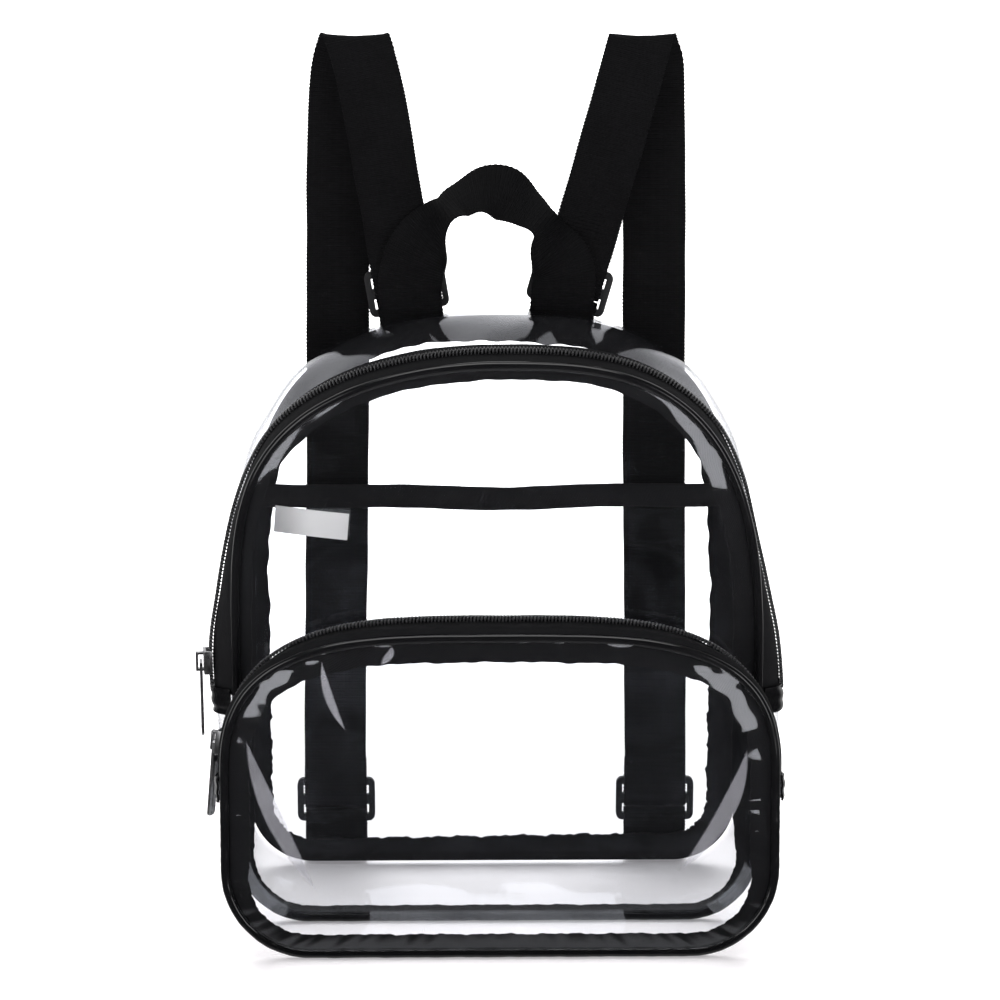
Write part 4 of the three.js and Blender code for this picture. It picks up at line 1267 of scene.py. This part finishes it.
def hem_lay(u, v):
    """The hem's section is a flat loop: v runs once round it."""
    turn = v * 2 * math.pi
    up = np.sign(np.sin(turn)) * np.abs(np.sin(turn)) ** 0.35
    through = np.sign(np.cos(turn)) * np.abs(np.cos(turn)) ** 0.5
    at = u * 230
    rise = HEM_HEIGHT / 2 - 0.3 + wander(at, 17, (21, 34, 55), 0.12)
    z = HEM_FOOT + HEM_HEIGHT / 2 + up * rise + wander(at, 19, (90, 140), 0.5)
    x = lerp(-(half_width(0, z) - 4.4), half_width(1, z) - 4.4, u)
    belly = SLIP_BELLY * np.sin(math.pi * u)
    puff = HEM_THICKNESS / 2 * (0.82 + wander(at, 23, (9, 15), 0.08))
    return np.stack([x, SLIP_SEAT_Y - belly + through * puff, z], -1)


hem = laid_grid("slip_hem", 260, 28, hem_lay, across=26, along=230)
close_tube(hem)
finish_piece(hem, TAPE_CLOTH, "slip_pocket_hem")

# %% [markdown]
# A bare white satin label is sewn in at the back seam, under the hem. It is a folded ribbon, and it
# droops and curls a little.

# %% Label
LABEL_LENGTH = 36.0
LABEL_HEIGHT = 13.0


def label_lay(u, v):
    out = u * LABEL_LENGTH
    up = (v - 0.5) * LABEL_HEIGHT
    droop, forward = math.radians(5), math.radians(8)
    curl = 0.9 * np.sin(math.pi * u) * (1 + 0.3 * (v - 0.5)) + 0.5 * u**2
    x = out * math.cos(droop) + up * math.sin(droop)
    z = up * math.cos(droop) - out * math.sin(droop)
    y = SLIP_SEAT_Y - HEM_THICKNESS / 2 - GAP - 0.6 - x * math.sin(forward) - curl
    return np.stack([-108 + x * math.cos(forward), y, 177 + z], -1)


label = laid_grid("bare_label", 36, 12, label_lay, across=LABEL_HEIGHT, along=LABEL_LENGTH)
close_seams(label)
thicken(label, 0.35)
finish_piece(label, SATIN, "label")

# %% [markdown]
# Webbing is a heavy weave with a rib across it for each weft. The ribs and the notched edges show
# along the whole strap, so they are in the mesh: a grid rolled into a flat section, its surface
# raised rib by rib. A strap follows a smooth route through the CAD source's own points.

# %% Webbing
WEBBING_WIDTH = 31.0
WEBBING = 1.4
RIB_PITCH = 1.7
RIB_ROWS = 4
SECTION_POINTS = 34


def smooth_route(points, at):
    """The same smooth curve as the CAD source's, from 0 to 1."""
    points = np.asarray(points, float)
    last = len(points) - 1
    padded = np.vstack([2 * points[0] - points[1], points, 2 * points[-1] - points[-2]])
    place = np.clip(at, 0, 1) * last
    i = np.minimum(place.astype(int), last - 1)
    t = (place - i)[:, None]
    p0, p1, p2, p3 = (padded[i + k] for k in range(4))
    a, b = (p2 - p0) / 2, (p3 - p1) / 2
    value = (2 * t**3 - 3 * t**2 + 1) * p1 + (3 * t**2 - 2 * t**3) * p2
    return value + (t**3 - 2 * t**2 + t) * a + (t**3 - t**2) * b


def flat_section(count):
    """A flat oval loop of places across (-1 to 1) and through (-1 to 1), with close rounded edges."""
    turn = np.arange(count + 1) / count * 2 * math.pi
    across = np.sign(np.cos(turn)) * np.abs(np.cos(turn)) ** 0.62
    through = np.sign(np.sin(turn)) * np.abs(np.sin(turn)) ** 0.28
    return across, through


def webbing(name, route, node, sway=0.0, seed=0):
    places = np.array([row[0] for row in route], float)
    edges = np.array([row[1] for row in route], float)
    fine = np.linspace(0, 1, 6001)
    line = smooth_route(places, fine)
    run = np.concatenate([[0], np.cumsum(np.linalg.norm(np.diff(line, axis=0), axis=1))])
    length = run[-1]
    rows = int(length / RIB_PITCH) * RIB_ROWS
    at = np.linspace(0, length, rows + 1)
    where = np.interp(at, run, fine)
    centre = smooth_route(places, where)
    ahead = smooth_route(places, where + 0.0005) - smooth_route(places, where - 0.0005)
    ahead = ahead / np.linalg.norm(ahead, axis=1, keepdims=True)
    edge = smooth_route(edges, where)
    edge = edge - ahead * np.sum(edge * ahead, axis=1, keepdims=True)
    edge = edge / np.linalg.norm(edge, axis=1, keepdims=True)
    face = np.cross(ahead, edge)
    across, through = flat_section(SECTION_POINTS)

    def lay(u, v):
        i = np.rint(v * rows).astype(int)
        j = np.rint(u * SECTION_POINTS).astype(int) % SECTION_POINTS
        rib = np.cos(2 * math.pi * at[i] / RIB_PITCH)
        notch = 0.22 * rib * np.abs(across[j]) ** 12
        waver = wander(at[i], seed, (37, 61, 97), 0.12)
        wide = across[j] * (WEBBING_WIDTH / 2 - 0.3 + notch + waver)
        crowned = 0.9 - 0.12 * across[j] ** 2
        thick = through[j] * (WEBBING / 2 * crowned + 0.13 * rib * (1 - across[j] ** 8))
        cup = sway * (across[j] ** 2) * np.sin(2 * math.pi * at[i] / 190 + seed)
        return centre[i] + edge[i] * wide[:, None] + face[i] * (thick + cup)[:, None]

    piece = laid_grid(name, SECTION_POINTS, rows, lay, across=length, along=2 * WEBBING_WIDTH)
    uvs = piece.data.uv_layers.active.data
    flat = np.empty(len(uvs) * 2)
    uvs.foreach_get("uv", flat)
    uvs.foreach_set("uv", flat.reshape(-1, 2)[:, ::-1].ravel())
    close_tube(piece, 0.000005)
    print(name, "is", round(length), "mm long")
    return finish_piece(piece, WEBBING_CLOTH, node, angle=70)


# %% [markdown]
# The routes below repeat the CAD source's own: the handle's arch, and each strap's way from its
# upper glide, over the top of its loop and down behind the bag to its lower glide.

# %% Routes of the webbing
GLIDE = {"width": 38.5, "height": 22, "thickness": 3, "end": 3.5, "bar": 5, "slot": 32.5, "corner": 5}
WEB_TURN = math.hypot(GLIDE["bar"], GLIDE["thickness"]) / 2 + GAP + WEBBING / 2
END_TURN = math.hypot(GLIDE["end"], GLIDE["thickness"]) / 2 + GAP + WEBBING / 2
HANDLE_Y = 1.5 + SHEET / 2 + GAP + WEBBING / 2
UPPER_GLIDE_Y = HANDLE_Y + WEBBING + 2 * GAP + WEB_TURN
LOWER_GLIDE_Y = HANDLE_Y + WEB_TURN
SEWN = 12.0
HANDLE = {"centre": -6, "half_span": 35, "rise": 72, "lean": 10}
HANDLE_ROWS = [
    (-1.02, -0.17, 0, (1, 0, 0)),
    (-1.02, 0.04, 0, (1, 0, 0)),
    (-1.03, 0.25, 0.2, (0.98, -0.06, 0.16)),
    (-0.88, 0.476, 0.6, (0.87, -0.43, 0.25)),
    (-0.6, 0.7, 1.1, (0.4, -0.91, -0.1)),
    (-0.34, 0.782, 1, (0.16, -0.88, -0.45)),
    (-0.07, 0.848, 1.1, (0, -0.77, -0.64)),
    (0.25, 0.822, 1, (-0.16, -0.58, -0.8)),
    (0.55, 0.727, 1, (-0.25, -0.83, -0.49)),
    (0.78, 0.626, 1.05, (-0.41, -0.89, -0.17)),
    (0.87, 0.494, 0.9, (-0.71, -0.7, -0.1)),
    (1.04, 0.292, 0.4, (-0.99, -0.12, -0.09)),
    (1.03, 0.07, 0, (-1, 0, 0)),
    (1.03, -0.17, 0, (-1, 0, 0)),
]
STRAP = {
    "upper_out": (38, 40),
    "lower_out": (81, 77.7),
    "lower_up": 31,
    "loop_top": 404,
    "loop_radius": 6.5,
    "loop_back": 17.5,
    "loop_out": ((64.4, 71.6), (65.2, 71.1)),
    "tail": 20,
}
RISING_ROWS = [
    (309, (48, 40.4), 4.6),
    (323, (50.1, 44.3), 5.3),
    (341, (53.4, 49.5), 6.3),
    (358, (56, 54.3), 7.4),
    (374, (58.9, 58.8), 8.6),
    (386, (61.4, 62.1), 9.7),
    (393, (63.2, 64), 10.5),
]
FALLING_ROWS = [
    (392, (73.4, 73), 24),
    (384, (74.8, 73.7), 24.2),
    (370, (75.8, 74.2), 24),
    (346, (76.7, 74.8), 22.6),
    (312, (77.3, 75.1), 20),
    (268, (77.7, 75.3), 16.8),
    (225, (78.2, 75.6), 14),
    (179, (78.9, 76.1), 11),
    (140, (79.7, 76.6), 8),
    (105, (80.4, 77), 5.3),
    (72, (80.9, 77.3), 2.4),
]


def seam_height(x):
    side = BACK["sides"][0 if x < 0 else 1]
    return float(np.interp(-abs(x), -side["x"], side["z"]))


def upper_frame(side):
    x = HANDLE["centre"] + side * STRAP["upper_out"][side > 0]
    z = seam_height(x) + GLIDE["height"] / 2 + 2.2
    height, out, _ = RISING_ROWS[3]
    along = Vector((side * out[side > 0] - x, 0, height - z)).normalized()
    return Vector((x, UPPER_GLIDE_Y, z)), along, Vector((along.z, 0, -along.x))


def lower_frame(side):
    centre = Vector((side * STRAP["lower_out"][side > 0], LOWER_GLIDE_Y, STRAP["lower_up"]))
    return centre, Vector((0, 0, 1)), Vector((1, 0, 0))


def around_bar(centre, along, edge, tail, leave, turn=WEB_TURN, tail_through=None):
    def place(run, through):
        return centre + along * run + Vector((0, through, 0)), edge

    straight = min(turn, tail / 2)
    route = [place(tail, turn if tail_through is None else tail_through), place(straight, turn)]
    for i in range(7):
        angle = i / 6 * math.pi
        route.append(place(-turn * math.sin(angle), turn * math.cos(angle)))
    return route + [place(straight, -turn), place(leave, -turn)]


def strap_route(side):
    upper, lower = upper_frame(side), lower_frame(side)
    leave = GLIDE["height"] / 2 + GLIDE["end"]
    level = Vector((1, 0, 0))

    def place(height, out, back):
        return Vector((side * out, HANDLE_Y + back, height)), level

    def over(turn):
        """The strap bends over as if round a level rod, so its top looks straight."""
        radius = STRAP["loop_radius"]
        return place(
            STRAP["loop_top"] - radius + radius * math.sin(turn),
            lerp(*STRAP["loop_out"][side > 0], turn / math.pi),
            STRAP["loop_back"] - radius * math.cos(turn),
        )

    return [
        *around_bar(*upper, STRAP["tail"], leave),
        *(place(height, out[side > 0], back) for height, out, back in RISING_ROWS),
        *(over(i / 4 * math.pi) for i in range(5)),
        *(place(height, out[side > 0], back) for height, out, back in FALLING_ROWS),
        *reversed(around_bar(*lower, STRAP["tail"], leave)),
    ]


def anchor_route(the_frame, seam_up):
    centre, along, edge = the_frame
    bar = centre - along * (GLIDE["height"] / 2 - GLIDE["end"] / 2)
    reach = (bar.z - seam_up) / along.z
    return around_bar(bar, -along, edge, reach, reach, END_TURN + 0.9, -END_TURN + WEBBING + GAP)


def handle_route():
    foot = seam_height(HANDLE["centre"] - HANDLE["half_span"])
    return [
        (
            Vector(
                (
                    HANDLE["centre"] + across * HANDLE["half_span"],
                    HANDLE_Y - forward * HANDLE["lean"],
                    foot + up * HANDLE["rise"],
                )
            ),
            Vector(edge),
        )
        for across, up, forward, edge in HANDLE_ROWS
    ]


webbing("carry_handle", handle_route(), "handle", seed=2)
for side_name, side in (("left", -1), ("right", 1)):
    name, node = f"shoulder_strap_{side_name}", f"strap_{side_name}"
    webbing(name, strap_route(side), node, sway=0.4, seed=5 + side)
    for place, the_frame, seed in (("upper", upper_frame(side), 11), ("lower", lower_frame(side), 15)):
        seam_up = seam_height(the_frame[0].x) - SEWN if place == "upper" else 2 * GAP
        name, node = f"{place}_loop_{side_name}", f"{place}_anchor_{side_name}"
        webbing(name, anchor_route(the_frame, seam_up), node, seed=seed + side)

# %% [markdown]
# A tri-glide is one moulded frame with two slots and a bar between them. It starts as a plane of
# three by five faces, whose two slot faces are deleted. Its corners are rounded, it gets its
# thickness, and a bevel rounds every edge as the mould does.

# %% Tri-glides


def pierced_plate(name, columns, rows, holes, thickness, corner, round_edge):
    """columns and rows are the places of the grid's lines in mm, holes the faces to leave out."""
    deselect()
    bpy.ops.mesh.primitive_grid_add(
        x_subdivisions=len(columns) - 1, y_subdivisions=len(rows) - 1, size=2
    )
    plate = bpy.context.object
    plate.name = plate.data.name = name
    for vertex in plate.data.vertices:
        i = round((vertex.co.x + 1) / 2 * (len(columns) - 1))
        j = round((vertex.co.y + 1) / 2 * (len(rows) - 1))
        vertex.co = (columns[i], rows[j], 0)
    for face in plate.data.polygons:
        x, y = face.center.x, face.center.y
        face.select = any(
            columns[i] < x < columns[i + 1] and rows[j] < y < rows[j + 1] for i, j in holes
        )
    bpy.context.tool_settings.mesh_select_mode = (False, False, True)
    bpy.ops.object.mode_set(mode="EDIT")
    bpy.ops.mesh.delete(type="FACE")
    bpy.ops.mesh.select_mode(type="VERT")
    bpy.ops.mesh.select_all(action="DESELECT")
    bpy.ops.object.mode_set(mode="OBJECT")
    for vertex in plate.data.vertices:
        vertex.select = (
            abs(vertex.co.x) > max(columns) - 1e-6
            and min(abs(vertex.co.y - max(rows)), abs(vertex.co.y - min(rows))) < 1e-6
        )
    bpy.ops.object.mode_set(mode="EDIT")
    bpy.ops.mesh.bevel(offset=corner, segments=6, affect="VERTICES")
    bpy.ops.mesh.select_all(action="DESELECT")
    bpy.ops.object.mode_set(mode="OBJECT")
    body = plate.modifiers.new("thickness", "SOLIDIFY")
    body.thickness = thickness
    body.offset = 0
    bpy.ops.object.modifier_apply(modifier=body.name)
    edge = plate.modifiers.new("rounding", "BEVEL")
    edge.width = round_edge
    edge.segments = 3
    edge.limit_method = "ANGLE"
    edge.angle_limit = math.radians(40)
    bpy.ops.object.modifier_apply(modifier=edge.name)
    return plate


def set_in_frame(piece, centre, x_axis, y_axis, z_axis):
    """Places a mesh that was made in mm at the origin."""
    turn = Matrix((x_axis, y_axis, z_axis)).transposed().to_4x4()
    move = Matrix.Translation(Vector(SHIFT)) @ Matrix.Diagonal((MM, MM, MM, 1))
    piece.data.transform(move @ Matrix.Translation(Vector(centre)) @ turn)
    piece.data.update()


def glide(name, the_frame, node):
    half_width_mm, half_height = GLIDE["width"] / 2, GLIDE["height"] / 2
    slot, bar, end = GLIDE["slot"] / 2, GLIDE["bar"] / 2, half_height - GLIDE["end"]
    plate = pierced_plate(
        name,
        [-half_width_mm, -slot, slot, half_width_mm],
        [-half_height, -end, -bar, bar, end, half_height],
        [(1, 1), (1, 3)],
        GLIDE["thickness"],
        GLIDE["corner"],
        0.7,
    )
    centre, along, edge = the_frame
    set_in_frame(plate, centre, edge, along, edge.cross(along))
    return finish_piece(plate, PLASTIC, node, angle=40)


for side_name, side in (("left", -1), ("right", 1)):
    glide(f"upper_slide_{side_name}", upper_frame(side), f"upper_glide_{side_name}")
    glide(f"lower_slide_{side_name}", lower_frame(side), f"lower_glide_{side_name}")

# %% [markdown]
# Each slider is a plate with two flanges over the coil and a bridge for its pull. They are small
# blocks with worn edges, so cubes are shaped, tapered towards the nose, joined and bevelled.

# %% Sliders and pulls
SLIDER_LENGTH = 11.0
SLIDER_ABOVE_END = 14.0
PLATE_FOOT = 0.5 + GAP + COIL_HEIGHT + 0.5
PLATE = 1.3
TUNNEL = 2.4
HINGE_UP = PLATE_FOOT + PLATE + TUNNEL / 2


def block(size, place, taper=1.0):
    deselect()
    bpy.ops.mesh.primitive_cube_add(size=1)
    made = bpy.context.object
    made.data.transform(Matrix.Diagonal((*size, 1)))
    for vertex in made.data.vertices:
        if vertex.co.y < 0:
            vertex.co.x *= taper
    made.data.transform(Matrix.Translation(Vector(place)))
    return made


def slider(name, node, the_frame):
    half = COIL_WIDTH / 2 + 0.5
    height = PLATE_FOOT + PLATE - 0.8
    parts = [
        block((2 * half + 2.2, SLIDER_LENGTH, PLATE), (0, 0, PLATE_FOOT + PLATE / 2), 0.8),
        block((1.1, SLIDER_LENGTH, height), (half + 0.55, 0, 0.8 + height / 2)),
        block((1.1, SLIDER_LENGTH, height), (-half - 0.55, 0, 0.8 + height / 2)),
        block((2.4, 1.3, TUNNEL + 1.2), (0, 3.85, PLATE_FOOT + PLATE + (TUNNEL + 1.2) / 2 - 0.1)),
        block((2.4, 1.3, TUNNEL + 1.2), (0, -3.85, PLATE_FOOT + PLATE + (TUNNEL + 1.2) / 2 - 0.1)),
        block((2.4, 9.0, 1.2), (0, 0, PLATE_FOOT + PLATE + TUNNEL + 0.6)),
    ]
    deselect()
    for part in parts:
        part.select_set(True)
    bpy.context.view_layer.objects.active = parts[0]
    bpy.ops.object.join()
    piece = bpy.context.object
    piece.name = piece.data.name = name
    edge = piece.modifiers.new("rounding", "BEVEL")
    edge.width = 0.3
    edge.segments = 3
    bpy.ops.object.modifier_apply(modifier=edge.name)
    set_in_frame(piece, *the_frame)
    return finish_piece(piece, NICKEL, node, angle=40)


def pull(name, node, body, the_frame):
    bar, eye, eye_half, half, length, slot = 0.6, 6.2, 1.8, 3.2, 35.0, 1.1
    plate = pierced_plate(
        name,
        [-half, -eye_half, -slot, slot, eye_half, half],
        [-bar, bar, bar + eye, bar + eye + 3.2, length - half - slot, length - half + slot, length],
        [(1, 1), (2, 1), (3, 1), (2, 3), (2, 4)],
        1.2,
        2.6,
        0.35,
    )
    centre, x_axis, y_axis, z_axis = the_frame
    set_in_frame(plate, Vector(centre) + Vector(z_axis) * HINGE_UP, x_axis, y_axis, z_axis)
    return finish_piece(plate, NICKEL, node, body=body, angle=40)


for zip_name, wall, body in (
    ("main", MAIN_WALL, "main_zip_pull"),
    ("pocket", POCKET_WALL, "pocket_zip_pull"),
):
    dome = wall["front"]["sides"][0]["length"][-1]
    centre, run, sideways, normal = zip_frames(wall, np.array([ROUND - SPRINGING - SLIDER_ABOVE_END / dome]))
    slider_frame = (centre[0], sideways[0], run[0], normal[0])
    slider(f"{zip_name}_zip_slider", f"{zip_name}_slider", slider_frame)
    pull(f"{zip_name}_zip_pull_tab", f"{zip_name}_pull", body, slider_frame)
